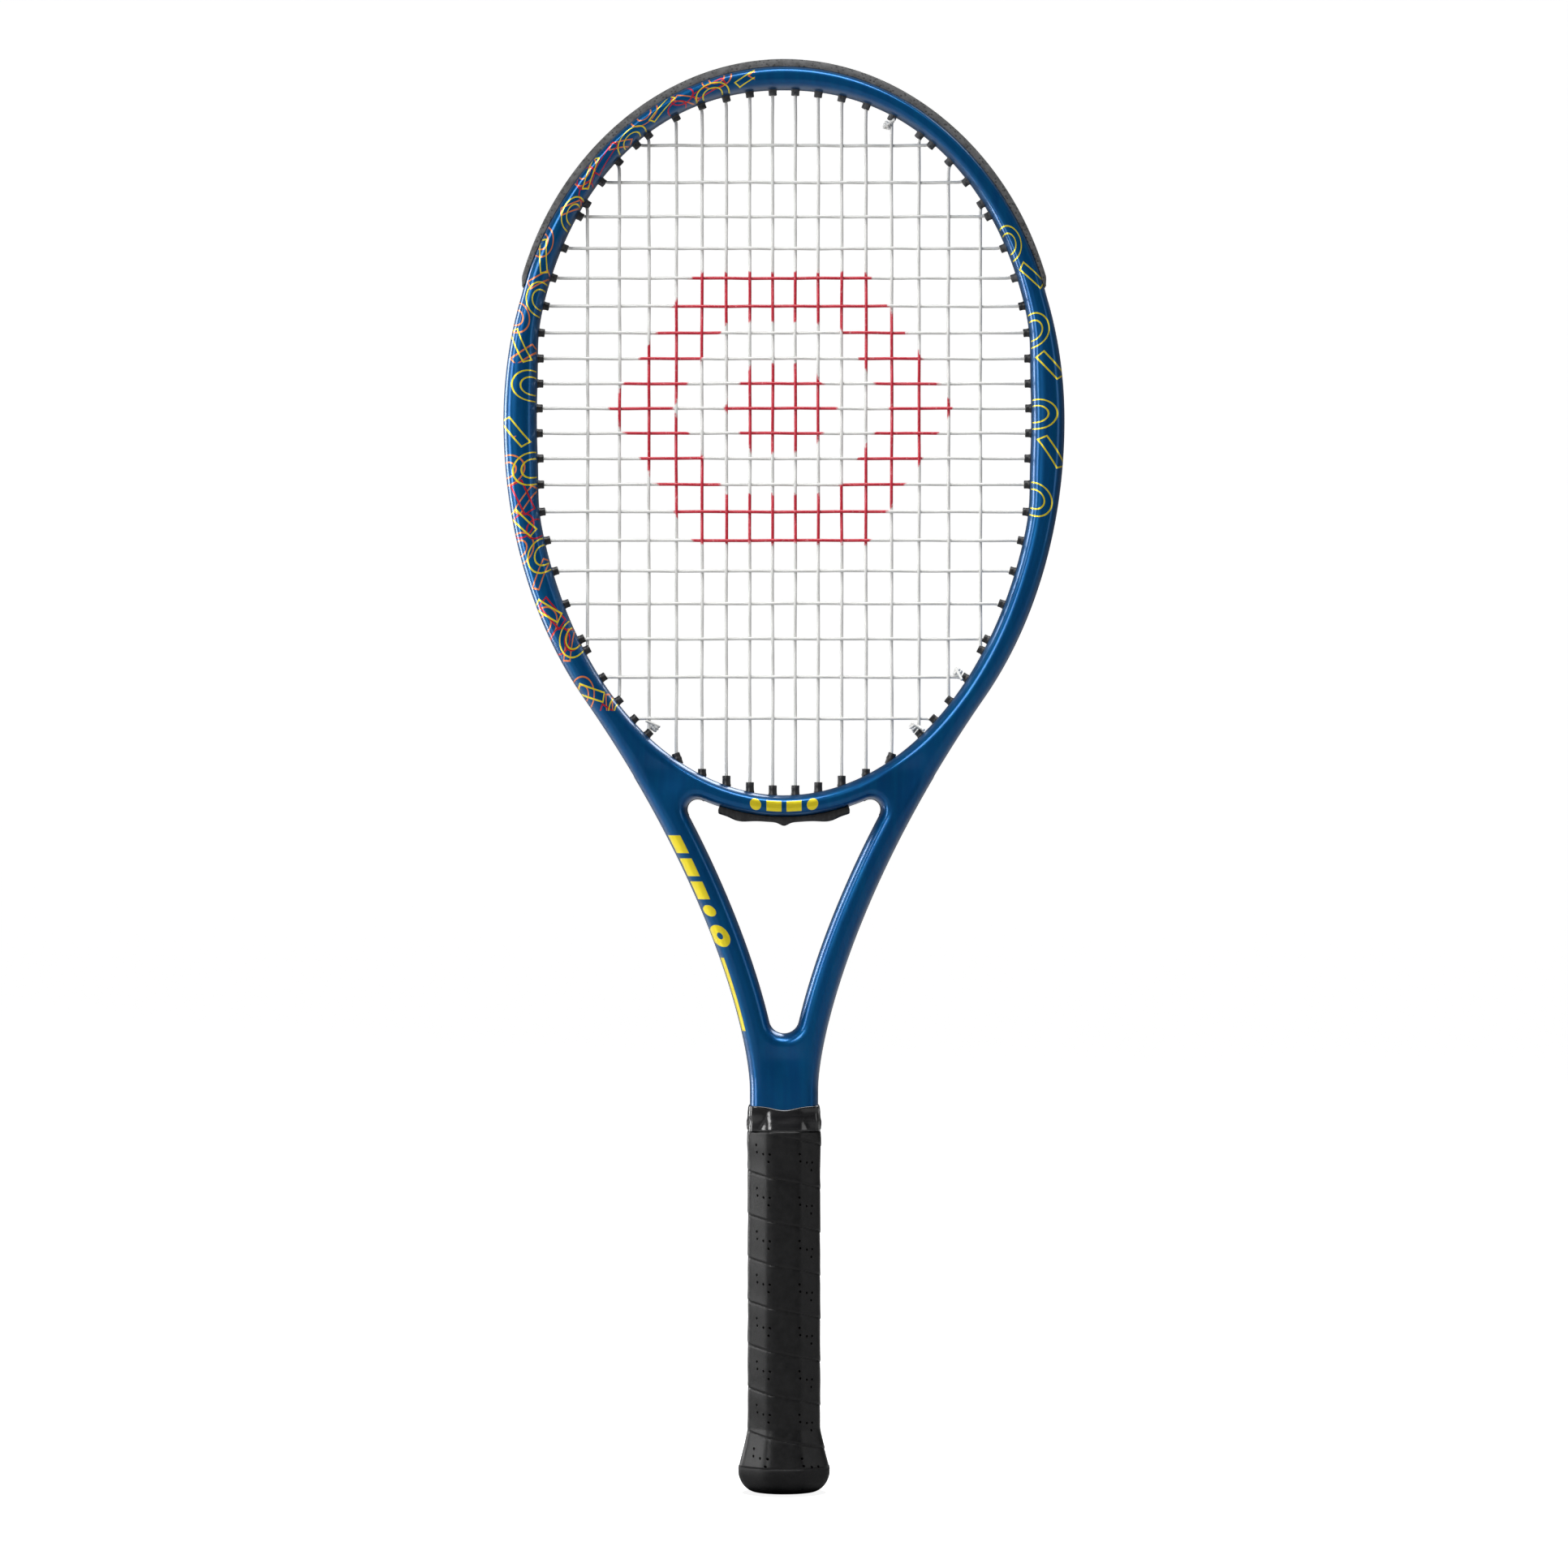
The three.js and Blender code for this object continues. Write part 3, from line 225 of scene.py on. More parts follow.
def outer_edge(angle):
    """The hoop's outer edge: two half ellipses that share their widest level."""
    rise = np.where(np.sin(angle) >= 0, OUTER_RISE, OUTER_DROP)
    return np.stack([OUTER_HALF * np.cos(angle), HEAD_LEVEL + rise * np.sin(angle)], -1)


def edge_normal(edge, angle):
    """Unit normal of an edge at an angle, pointing away from the head's middle."""
    run = edge(angle + 1e-5) - edge(angle - 1e-5)
    return unit(np.stack([run[..., 1], -run[..., 0]], -1))


JOIN_ANGLE = -math.asin(ARM_JOIN_DROP / OUTER_DROP)
join_point = outer_edge(JOIN_ANGLE)
join_normal = edge_normal(outer_edge, JOIN_ANGLE)
arm_ends = np.array([
    [SHAFT_HALF, SHAFT_TOP],
    [SHAFT_HALF, SHAFT_TOP + ARM_PULL_SHAFT],
    join_point + np.array([join_normal[1], -join_normal[0]]) * ARM_PULL_HEAD,
    join_point,
])


def arm_edge(t):
    """The right arm's outer edge: a cubic curve from the shaft (0) up to the hoop (1)."""
    t = np.asarray(t, float)[..., None]
    a, b, c, d = arm_ends
    return (1 - t) ** 3 * a + 3 * (1 - t) ** 2 * t * b + 3 * (1 - t) * t ** 2 * c + t ** 3 * d


def arm_inward(t):
    """Unit normal of the arm's outer edge, pointing into the arm."""
    run = unit(arm_edge(np.asarray(t) + 1e-4) - arm_edge(np.asarray(t) - 1e-4))
    return np.stack([-run[..., 1], run[..., 0]], -1)


def crossing(values, target, places):
    """The place where a steadily changing row of values reaches the target."""
    order = np.argsort(values)
    return np.interp(target, values[order], places[order])


arm_places = np.linspace(0.005, 0.995, 4000)
foot_line = arm_edge(arm_places) + arm_inward(arm_places) * (ARM_WIDTH + CROTCH_RADIUS)
near_foot = arm_places < 0.6
FOOT_PLACE = crossing(foot_line[near_foot, 0], 0.0, arm_places[near_foot])
corner_line = arm_edge(arm_places) + arm_inward(arm_places) * (ARM_WIDTH + THROAT_CORNER)
corner_level = np.hypot(corner_line[:, 0] / (OUTER_HALF + THROAT_CORNER),
                        (corner_line[:, 1] - HEAD_LEVEL) / (OUTER_DROP + THROAT_CORNER))
above_foot = arm_places > FOOT_PLACE + 0.05
CORNER_PLACE = crossing(corner_level[above_foot], 1.0, arm_places[above_foot])
CORNER_CENTRE = arm_edge(CORNER_PLACE) + arm_inward(CORNER_PLACE) * (ARM_WIDTH + THROAT_CORNER)
FOOT_CENTRE = arm_edge(FOOT_PLACE) + arm_inward(FOOT_PLACE) * (ARM_WIDTH + CROTCH_RADIUS)
CORNER_BRIDGE_ANGLE = math.atan2((CORNER_CENTRE[1] - HEAD_LEVEL) / (OUTER_DROP + THROAT_CORNER),
                                 CORNER_CENTRE[0] / (OUTER_HALF + THROAT_CORNER))
SIDE_TURN = math.atan2(*(-arm_inward(CORNER_PLACE))[::-1])
BRIDGE_TURN = math.atan2(*(-edge_normal(outer_edge, CORNER_BRIDGE_ANGLE))[::-1])
FOOT_TURN = math.atan2(*(-arm_inward(FOOT_PLACE))[::-1])
MIDDLE_TURN = (SIDE_TURN + BRIDGE_TURN) / 2
JUNCTION_PLACE = crossing(arm_edge(arm_places)[:, 1], JUNCTION_LEVEL, arm_places)
SHAFT_PLACE = crossing(arm_edge(arm_places)[:, 1],
                       FOOT_CENTRE[1] - CROTCH_RADIUS - CROTCH_FOOT_DROP, arm_places)


def round_corner(centre, radius, turns):
    """Points and outward normals of an arc."""
    way = np.stack([np.cos(turns), np.sin(turns)], -1)
    return centre + radius * way, way


def half_depth(level):
    """Half of the beam's depth: shallower in the shaft, full from the bridge up."""
    return mix(SHAFT_HALF_DEPTH, BEAM_HALF, ease(level, SHAFT_TOP, HEAD_LEVEL - OUTER_DROP))


def bumper_thickness(level):
    """How far the bumper stands out of the hoop: full at the crown, and thinner towards its
    ends by the tenth power of the hoop's width there, as a share of its width at the ends."""
    width = np.sqrt(np.clip(1 - ((level - HEAD_LEVEL) / OUTER_RISE) ** 2, 0, 1))
    end_width = np.sqrt(1 - ((BUMPER_FOOT - HEAD_LEVEL) / OUTER_RISE) ** 2)
    return mix(BUMPER_STAND, BUMPER_END_STAND, (width / end_width) ** 10)


def under_bumper(level):
    """How far the hoop swells out into the bumper's foot, so that its edge shows beside it."""
    return EDGE_SHARE * bumper_thickness(level) * ease(level, BUMPER_FOOT - 6, BUMPER_FOOT + 10)


# ------------------------------------------------------------ frame
RISES = np.array([0, .17, GROOVE_HALF / BEAM_HALF, .352, .46, .58, .69, .79, .875, .94, .98, 1.0])
SECTION_POWER = 2.3
INSETS = 1 - (1 - RISES ** SECTION_POWER) ** (1 / SECTION_POWER)
ROUNDED_SHARE = 0.42
ACROSS = 7
MEETING_HOLLOW, MEETING_SPREAD = 1.3, (11.0, 10.0)
CROTCH_HOLLOW, CROTCH_SPREAD = 0.8, (7.0, 7.0)
CROTCH_MIDDLE = (0.0, 207.0)
GROOVE_RUN_OUT = (-4.0, 1.0)
ARM_REACH = ROUNDED_SHARE * ARM_WIDTH
CORNER_REACH = ROUNDED_SHARE * (RIM_BRIDGE + ARM_WIDTH) / 2
CORNER_ROWS, SIDE_ROWS, FOOT_ROWS = 8, 70, 12
SHAFT_ROWS = 24


def rounding(points, inward, reach, groove=0.0):
    """A band beside an edge: column by column it goes inwards from the edge by the inset of
    a superellipse, and the first columns sink further by the depth of the string groove."""
    sunk = np.where(RISES <= GROOVE_HALF / BEAM_HALF, 1.0, 0.0)
    reach = np.broadcast_to(reach, len(points))
    depth = reach[:, None] * INSETS + np.broadcast_to(groove, len(points))[:, None] * sunk
    return points[:, None] + inward[:, None] * depth[..., None]


def panel(band, opposite):
    """Two bands and the straight stretch between them, as rows across the beam."""
    f = (np.arange(1, ACROSS) / ACROSS)[None, :, None]
    middle = mix(band[:, -1:], opposite[:, -1:], f)
    rises = np.concatenate([RISES, np.ones(ACROSS - 1), RISES[::-1]])
    plane = np.concatenate([band, middle, opposite[:, ::-1]], 1)
    return plane, np.broadcast_to(rises, plane.shape[:2])


def three_sided(a, b, c):
    """A triangle's grid of points and faces, with the same steps along each of its sides."""
    i, j = np.meshgrid(np.arange(ACROSS + 1), np.arange(ACROSS + 1), indexing="ij")
    inside = i + j <= ACROSS
    i, j = i[inside], j[inside]
    number = -np.ones((ACROSS + 2, ACROSS + 2), int)
    number[i, j] = np.arange(len(i))
    points = a + (b - a) * (i / ACROSS)[:, None] + (c - a) * (j / ACROSS)[:, None]
    up = i + j < ACROSS
    faces = np.stack([number[i[up], j[up]], number[i[up] + 1, j[up]], number[i[up], j[up] + 1]], -1)
    down = i + j < ACROSS - 1
    k, m = i[down], j[down]
    more = np.stack([number[k + 1, m], number[k + 1, m + 1], number[k, m + 1]], -1)
    return points, np.concatenate([faces, more])


def ring_width(angle):
    """How wide the hoop is between its two edges at an angle."""
    return np.linalg.norm(outer_edge(angle) - inner_edge(angle), axis=-1)


def groove_at(points):
    """Depth of the string groove beside points of the outer edge."""
    low, high = GROOVE_RUN_OUT
    return GROOVE_DEPTH * ease(points[:, 1], STRIP_FOOT + low, STRIP_FOOT + high)


def at_the_middle(plane, rises):
    """Puts the points that are nearly on the middle line exactly there."""
    plane[np.abs(plane[..., 0]) < 1e-3, 0] = 0
    return plane, rises


def hoop_panel():
    """The hoop from the crown down to where the bridge leaves it. Below the place where the
    arm joins, the arm's edge takes the place of the ellipse."""
    hoop_angles = np.linspace(UP, JOIN_ANGLE, 170)
    lower_angles = np.linspace(JOIN_ANGLE, JUNCTION_ANGLE, 26)[1:]
    angles = np.concatenate([hoop_angles, lower_angles])
    lower_places = np.linspace(1, JUNCTION_PLACE, 26)[1:]
    outer = np.concatenate([outer_edge(hoop_angles), arm_edge(lower_places)])
    outer_in = np.concatenate([-edge_normal(outer_edge, hoop_angles), arm_inward(lower_places)])
    settle = ease(angles, JUNCTION_ANGLE, JOIN_ANGLE + 0.35)
    reach = ROUNDED_SHARE * ring_width(angles)
    swell = under_bumper(outer[:, 1])
    outer = outer - outer_in * swell[:, None]
    return at_the_middle(*panel(
        rounding(inner_edge(angles), edge_normal(inner_edge, angles), reach),
        rounding(outer, outer_in, mix(ARM_REACH, reach, settle), groove_at(outer) + swell)))


def arm_panel():
    """The arm from the throat's upper corner to below the crotch. The throat's edge is an arc,
    the arm's outer edge set in by its width, and an arc that ends on the middle line."""
    corner, corner_way = round_corner(
        CORNER_CENTRE, THROAT_CORNER, np.linspace(MIDDLE_TURN, SIDE_TURN, CORNER_ROWS + 1))
    side_places = np.linspace(CORNER_PLACE, FOOT_PLACE, SIDE_ROWS + 1)[1:]
    side = arm_edge(side_places) + arm_inward(side_places) * ARM_WIDTH
    foot, foot_way = round_corner(
        FOOT_CENTRE, CROTCH_RADIUS, np.linspace(FOOT_TURN, -UP, FOOT_ROWS + 1)[1:])
    foot[-1, 0] = 0
    throat = np.concatenate([corner, side, foot])
    throat_in = np.concatenate([corner_way, -arm_inward(side_places), foot_way])
    beside = np.concatenate([
        np.linspace(JUNCTION_PLACE, CORNER_PLACE, CORNER_ROWS + 1),
        side_places, np.linspace(FOOT_PLACE, SHAFT_PLACE, FOOT_ROWS + 1)[1:]])
    turn = ease(np.arange(len(throat)), 0, CORNER_ROWS)
    return panel(
        rounding(throat, throat_in, mix(CORNER_REACH, ARM_REACH, turn)),
        rounding(arm_edge(beside), arm_inward(beside), ARM_REACH, groove_at(arm_edge(beside))))


def bridge_panel():
    """The bridge from the throat's upper corner to the middle line."""
    under_angles = np.linspace(CORNER_BRIDGE_ANGLE, -UP, 36)[1:]
    corner, corner_way = round_corner(
        CORNER_CENTRE, THROAT_CORNER, np.linspace(MIDDLE_TURN, BRIDGE_TURN, CORNER_ROWS + 1))
    over_angles = np.concatenate([
        np.linspace(JUNCTION_ANGLE, CORNER_BRIDGE_ANGLE, CORNER_ROWS + 1), under_angles])
    underside = np.concatenate([corner, outer_edge(under_angles)])
    underside_in = np.concatenate([corner_way, -edge_normal(outer_edge, under_angles)])
    turn = ease(np.arange(len(underside)), 0, CORNER_ROWS)
    return at_the_middle(*panel(
        rounding(inner_edge(over_angles), edge_normal(inner_edge, over_angles),
                 ROUNDED_SHARE * ring_width(over_angles)),
        rounding(underside, underside_in, mix(CORNER_REACH, ROUNDED_SHARE * RIM_BRIDGE, turn))))


def shaft_panel():
    """The shaft from below the crotch into the collar, out from the middle line to one side."""
    shaft_levels = np.linspace(arm_edge(SHAFT_PLACE)[1], HANDLE_TOP + 0.3, SHAFT_ROWS)
    on_arm = np.interp(shaft_levels, arm_edge(arm_places)[:, 1], arm_places)
    edge = np.where((shaft_levels > SHAFT_TOP)[:, None], arm_edge(on_arm),
                    np.stack([np.full(SHAFT_ROWS, SHAFT_HALF), shaft_levels], -1))
    edge[0] = arm_edge(SHAFT_PLACE)
    way = np.where((shaft_levels > SHAFT_TOP)[:, None], arm_inward(on_arm), [[-1.0, 0.0]])
    way[0] = arm_inward(SHAFT_PLACE)
    edge_band = rounding(edge, way, ARM_REACH)
    edge_band[-1, :, 1] = shaft_levels[-1]
    axis = np.stack([np.zeros(SHAFT_ROWS), edge_band[:, -1, 1]], -1)
    f = (np.arange(ACROSS) / ACROSS)[None, :, None]
    plane = np.concatenate([mix(axis[:, None], edge_band[:, -1:], f), edge_band[:, ::-1]], 1)
    rises = np.concatenate([np.ones(ACROSS), RISES[::-1]])
    return plane, np.broadcast_to(rises, plane.shape[:2])


def frame_sheets():
    """The right front quarter of the frame, as (plane points, rises, faces) for each part:
    hoop, arm, bridge, shaft and the two places where three of them meet."""
    hoop, arm, bridge, shaft = hoop_panel(), arm_panel(), bridge_panel(), shaft_panel()
    parts = [(plane, rises, grid_faces(*plane.shape[:2]))
             for plane, rises in (hoop, arm, bridge, shaft)]
    rim = len(RISES) - 1
    meeting = [hoop[0][-1, rim], hoop[0][-1, rim + ACROSS], arm[0][0, rim]]
    for corners in (meeting, [arm[0][-1, rim], arm[0][-1, rim + ACROSS], shaft[0][0, 0]]):
        points, faces = three_sided(*corners)
        parts.append((points, np.ones(len(points)), faces))
    return parts, sum(meeting) / 3


def add_frame(material):
    """Front and back sheets, left and right, welded into one closed skin. The face is gently
    sunk where hoop, arm and bridge meet, so that the hoop's edge reads as one ring, and below
    the crotch: each hollow is a bell curve of the distance from its middle."""
    parts, meeting = frame_sheets()
    skin = Shape()
    for plane, rises, faces in parts:
        plane, rises = plane.reshape(-1, 2), rises.reshape(-1)
        sunk = sum(deep * np.exp(-np.sum(((plane - middle) / spread) ** 2, -1))
                   for deep, middle, spread in ((MEETING_HOLLOW, meeting, MEETING_SPREAD),
                                                (CROTCH_HOLLOW, CROTCH_MIDDLE, CROTCH_SPREAD)))
        depth = rises * (half_depth(plane[:, 1]) - sunk)
        for across in (1, -1):
            for through in (1, -1):
                points = np.stack([across * plane[:, 0], through * depth, plane[:, 1]], -1)
                skin.add(points, faces if across * through > 0 else faces[:, ::-1])
    return skin.piece("racket_frame", material,
                      ("hairpin_frame", "throat_bridge"), weld=True, sharp=50)


# ------------------------------------------------------------ string holes
BARREL_SIDES = 18
TIED_DEPTH = 1.3
angle_table = np.linspace(-UP, UP, 24001)
aimed = inner_edge(angle_table) - AIM_DEPTH * edge_normal(inner_edge, angle_table)


def main_place(k):
    """How far the kth main lies from the middle: even steps, widened by a cubic term."""
    return MAIN_PITCH * (k - 0.5) + MAIN_WIDEN * (k - 0.5) ** 3


def cross_level(j):
    """The height of the jth cross: even steps down from the tightest, widened by a cubic."""
    u = j - CROSS_TIGHTEST
    return HEAD_LEVEL + CROSS_LIFT - CROSS_PITCH * u - CROSS_WIDEN * u ** 3


class Hole:
    """A barrel's line: its mouth in the head, its way out, and its angle on the head's edge."""

    def __init__(self, angle, side, way=None, stand=BARREL_STAND):
        flip = np.array([side, 1.0])
        edge = inner_edge(angle)
        self.angle, self.side = angle, side
        self.way = (edge_normal(inner_edge, angle) if way is None else np.array(way)) * flip
        self.edge = edge * flip
        on_axis = (edge - AIM_DEPTH * edge_normal(inner_edge, angle)) * flip
        self.base = on_axis + self.way * AIM_DEPTH
        self.mouth = self.base - self.way * stand
        self.bridge = way is not None


def main_hole(k, side, end):
    """The hole where the kth main's line meets the head. The lower holes near the middle run
    straight down through the bridge, and the next one runs out at the throat's corner."""
    half = angle_table > 0 if end == "top" else angle_table < 0
    angle = crossing(aimed[half, 0], main_place(k), angle_table[half])
    if end == "top" or k > THROAT_MAINS:
        return Hole(angle, side)
    if k < THROAT_MAINS:
        stand = BRIDGE_BARREL_STAND if k <= BRIDGE_MAINS else BARREL_STAND
        return Hole(angle, side, (0.0, -1.0), stand)
    exit_point = round_corner(CORNER_CENTRE, THROAT_CORNER, MIDDLE_TURN)[0]
    return Hole(angle, side, unit(exit_point - inner_edge(angle)))


def cross_hole(j, side):
    """The hole where the jth cross's level meets the head, square to its edge."""
    angle = crossing(aimed[:, 1], cross_level(j), angle_table)
    return Hole(angle, side)


main_holes = {(k, side, end): main_hole(k, side, end) for k in range(1, MAINS_PER_SIDE + 1)
              for side in (-1, 1) for end in ("top", "bottom")}
cross_holes = {(j, side): cross_hole(j, side) for j in range(1, CROSSES + 1) for side in (-1, 1)}


def lathe_on(shape, base, way, profile, depth):
    """A turned profile of (distance along, radius) about a line in the string plane,
    stretched through the beam by depth. The profile is a closed ring."""
    turns = np.linspace(0, 2 * math.pi, BARREL_SIDES, endpoint=False)
    along, radius = np.array(profile, float).T
    across = np.array([way[1], -way[0]])
    centre = base + along[:, None] * way
    plane = centre[:, None] + radius[:, None, None] * np.cos(turns)[None, :, None] * across
    through = depth * radius[:, None] * np.sin(turns)
    points = np.stack([plane[..., 0], through, plane[..., 1]], -1)
    shape.grid(points, wrap_rows=True, wrap_columns=True)


def add_barrels(shape, holes):
    """Moulded barrels: a small foot ring on the rim, a tube and an eased mouth with a bore.
    A barrel that also holds a knotted end is wider through the beam."""
    bore, r = STRING_RADIUS + 0.12, BARREL_RADIUS
    for hole in holes:
        stand = np.linalg.norm(hole.mouth - hole.base)
        tied = any(hole is spot for spot in tie_offs)
        profile = [(3.0, bore), (3.0, r), (0.9, r), (0.4, r + 0.16), (-0.35, r + 0.14), (-0.6, r),
                   (-stand * 0.55, r - 0.06), (0.3 - stand, r - 0.02), (0.08 - stand, r - 0.14),
                   (-stand, r - 0.42), (-stand, bore + 0.22), (0.2 - stand, bore)]
        lathe_on(shape, hole.base, hole.way, profile, TIED_DEPTH if tied else 1.0)


tie_offs = [main_holes[MAIN_TIE_OFF, -1, "bottom"], main_holes[MAIN_TIE_OFF, 1, "bottom"],
            main_holes[START_MAIN, 1, "top"], cross_holes[END_CROSS, 1]]


# ------------------------------------------------------------ rim track: bumper and strips
def rim_run():
    """The outer edge from the right strip's foot over the crown to the left one's: points,
    outward normals and the distance run, evenly spaced."""
    places = np.linspace(JUNCTION_PLACE, 1, 300)[:-1]
    angles = np.linspace(JOIN_ANGLE, UP, 1500)
    right = np.concatenate([arm_edge(places), outer_edge(angles)])
    left = right[-2::-1] * (-1, 1)
    points = np.concatenate([right, left])
    run = np.concatenate([[0], np.cumsum(np.linalg.norm(np.diff(points, axis=0), axis=1))])
    even = np.linspace(0, run[-1], 900)
    spread = np.stack([np.interp(even, run, points[:, i]) for i in (0, 1)], -1)
    outward = normals_of(spread)
    return spread, outward, even


rim_points, rim_outward, rim_length = rim_run()


def both_halves(half, places):
    """A whole section for each place along a line, from half of one. The half is a list of
    (outward, through) points from the middle round to the middle, whose numbers may change
    from place to place, and its mirror image through Y closes the section."""
    points = [np.stack(np.broadcast_arrays(outward, through, places)[:2], -1)
              for outward, through in half]
    half = np.stack(points, 1)
    return np.concatenate([half, half[:, -2:0:-1] * (1, -1)], 1)


def carry(shape, points, outward, section):
    """Carries a closed section of (outward, through) points along a line in the string plane:
    each of its points lies at the line's point plus the outward normal times the first number,
    and through the beam by the second."""
    plane = points[:, None] + outward[:, None] * section[..., :1]
    rows = np.stack([plane[..., 0], section[..., 1], plane[..., 1]], -1)
    shape.grid(rows, wrap_columns=True, caps=True)


def holes_between(low, high):
    """The holes in the hoop, not the bridge's, between two levels."""
    def on_rim(hole):
        return not hole.bridge and low < hole.edge[1] <= high
    return [h for h in [*main_holes.values(), *cross_holes.values()] if on_rim(h)]


def add_bumper(material):
    """A guard over the crown: two rails beside the string groove, a shoulder that rounds over
    the frame's edge and ends in a thin lip, thinning towards its two ends."""
    shape = Shape()
    keep = np.nonzero(rim_points[:, 1] > BUMPER_FOOT + 0.4)[0]
    level = rim_points[keep, 1]
    stand = bumper_thickness(level)
    taper = ease(np.minimum(np.arange(len(keep)), np.arange(len(keep))[::-1]), -1, 5)
    stand = mix(0.9, stand, taper)
    foot = under_bumper(level)
    half = [
        (-2.1, 0.0), (-2.1, 2.2), (stand - 1.0, 2.7), (stand - 0.25, 3.0),
        (stand, 3.6), (stand, 4.5), (stand - 0.12, 5.2), (stand - 0.4, 5.9),
        (mix(foot, stand, 0.66), 6.5), (mix(foot, stand, 0.34), 6.95), (foot + 0.02, 7.2),
        (foot - 0.42, 7.25), (foot - 0.6, 6.9), (foot - 0.3, 5.6), (foot - 0.1, 4.2),
        (-2.7, 3.5), (-2.7, 0.0),
    ]
    carry(shape, rim_points[keep], rim_outward[keep], both_halves(half, level))
    add_barrels(shape, holes_between(BUMPER_FOOT, TOP))
    shape.piece("bumper", material, ("bumper_guard",), sharp=42)


def add_side_strip(side, material):
    """A strip in the groove, dished along its middle where the string runs."""
    shape = Shape()
    keep = np.nonzero((rim_points[:, 0] * side > 0) & (rim_points[:, 1] > STRIP_FOOT + 0.5)
                      & (rim_points[:, 1] < BUMPER_FOOT - 1.0))[0]
    half = [(-2.15, 0.0), (-2.15, 1.9), (-1.2, 2.5), (-0.5, 2.7), (-0.45, 3.4), (-0.7, 3.65),
            (-2.7, 3.65), (-2.7, 0.0)]
    carry(shape, rim_points[keep], rim_outward[keep], both_halves(half, rim_length[keep]))
    holes = [h for h in holes_between(STRIP_FOOT - 20, BUMPER_FOOT) if h.side == side]
    add_barrels(shape, holes)
    name = SIDE_NAMES[side]
    shape.piece(f"side_grommets_{name}", material,
                (f"grommet_strip_{name}",), sharp=42)


def add_corner_grommets(side, material):
    """Two barrels and the small oval plate that holds them in the throat's corner."""
    shape = Shape()
    add_barrels(shape, [main_holes[k, side, "bottom"] for k in (4, 5)])
    name = SIDE_NAMES[side]
    turns = np.linspace(SIDE_TURN - 0.1, BRIDGE_TURN + 0.25, 22)
    corner, outward = round_corner(CORNER_CENTRE, THROAT_CORNER + 0.15, turns)
    half = [(0.4, 0.0), (0.4, 2.3), (0.1, 2.7), (-0.2, 2.5), (-0.35, 1.9), (-0.35, 0.0)]
    carry(shape, corner * (side, 1), outward * (side, 1), both_halves(half, turns))
    shape.piece(f"corner_grommets_{name}", material,
                (f"corner_grommet_{name}",), sharp=42)


def add_bridge_strip(material):
    """The strip under the bridge. Its two rails hang lower in the middle, with a hump on each
    side and a nib at the centre, and a groove between them holds the strings."""
    shape = Shape()
    half_length = levels("grommet_strip_bridge")[1][0] - 0.3
    x = np.linspace(-half_length, half_length, 121)
    across = np.abs(x) / half_length
    end = np.sqrt(np.clip(1 - ((across - 0.96) / 0.04).clip(0, 1) ** 2, 0, 1))
    hump = 1.75 * np.exp(-((across - 0.68) / 0.2) ** 2) + 0.7 * ease(across, 0.8, 1)
    nib = 1.6 * np.exp(-(across / 0.085) ** 2)
    drop = (2.45 + hump + nib) * mix(0.45, 1.0, end)
    angle = -np.arccos(x / OUTER_HALF)
    half = [(1.2, 0.0), (1.2, 2.2), (drop - 0.8, 2.7), (drop - 0.2, 3.1), (drop, 3.8),
            (drop, 5.2), (drop - 0.35, 6.2), (mix(0.3, drop, 0.6), 6.85), (0.6, 7.0),
            (-0.3, 6.9), (-0.5, 4.0), (-0.5, 0.0)]
    carry(shape, outer_edge(angle), edge_normal(outer_edge, angle), both_halves(half, x))
    add_barrels(shape, [main_holes[k, side, "bottom"] for k in range(1, BRIDGE_MAINS + 1)
                        for side in (-1, 1)])
    shape.piece("bridge_grommets", material,
                ("grommet_strip_bridge",), sharp=42)


# ------------------------------------------------------------ strings
WEAVE = 0.73
CHANNEL_LEVEL = -1.35
STRIP_LOOP, CORNER_LOOP = 1.9, -1.6
LANE = 1.0
TIED_LANE = 0.8
SAMPLE = 1.1
TUBE_SIDES = 8
SETTLING = 12.0


def even_path(points, spacing):
    """The same path with its points evenly spaced along its run."""
    run = np.concatenate([[0], np.cumsum(np.linalg.norm(np.diff(points, axis=0), axis=1))])
    even = np.linspace(0, run[-1], max(int(run[-1] / spacing), 4))
    return np.stack([np.interp(even, run, points[:, i]) for i in range(3)], -1)


def softened(points, passes):
    """Rounds a path's corners by averaging each point with its two neighbours."""
    for _ in range(passes):
        inner = 0.25 * points[:-2] + 0.5 * points[1:-1] + 0.25 * points[2:]
        points = np.concatenate([points[:1], inner, points[-1:]])
    return points


def tube(shape, path, radius, reference):
    """A round tube along a path. Each ring lies square to the path, turned so that its first
    point is square to the reference direction as well."""
    run = unit(np.gradient(path, axis=0))
    side = unit(np.cross(np.broadcast_to(reference, run.shape), run))
    over = np.cross(run, side)
    turns = np.linspace(0, 2 * math.pi, TUBE_SIDES, endpoint=False)[None, :, None]
    rings = path[:, None] + radius * (np.cos(turns) * side[:, None] + np.sin(turns) * over[:, None])
    shape.grid(rings, wrap_columns=True, caps=True)


def weave_sign(main, cross):
    """Whether a main passes behind a cross (1) or in front of it (-1), as on a chequerboard."""
    return 1.0 if (main + cross) % 2 == 0 else -1.0


def main_number(k, side):
    """A main's number from the left one, for the chequerboard."""
    return MAINS_PER_SIDE - k if side < 0 else MAINS_PER_SIDE - 1 + k


def waving(places, marks, first_sign, start, stop):
    """Height of the weave at each place: a cosine that reaches plus and minus one in turn at
    the marks, where the other strings cross, and is zero at the two ends."""
    phase_marks = np.concatenate([[start], marks, [stop]])
    phases = np.concatenate([[-0.5], np.arange(len(marks)), [len(marks) - 0.5]])
    phase = np.interp(places, phase_marks, phases)
    return WEAVE * first_sign * np.cos(math.pi * phase)


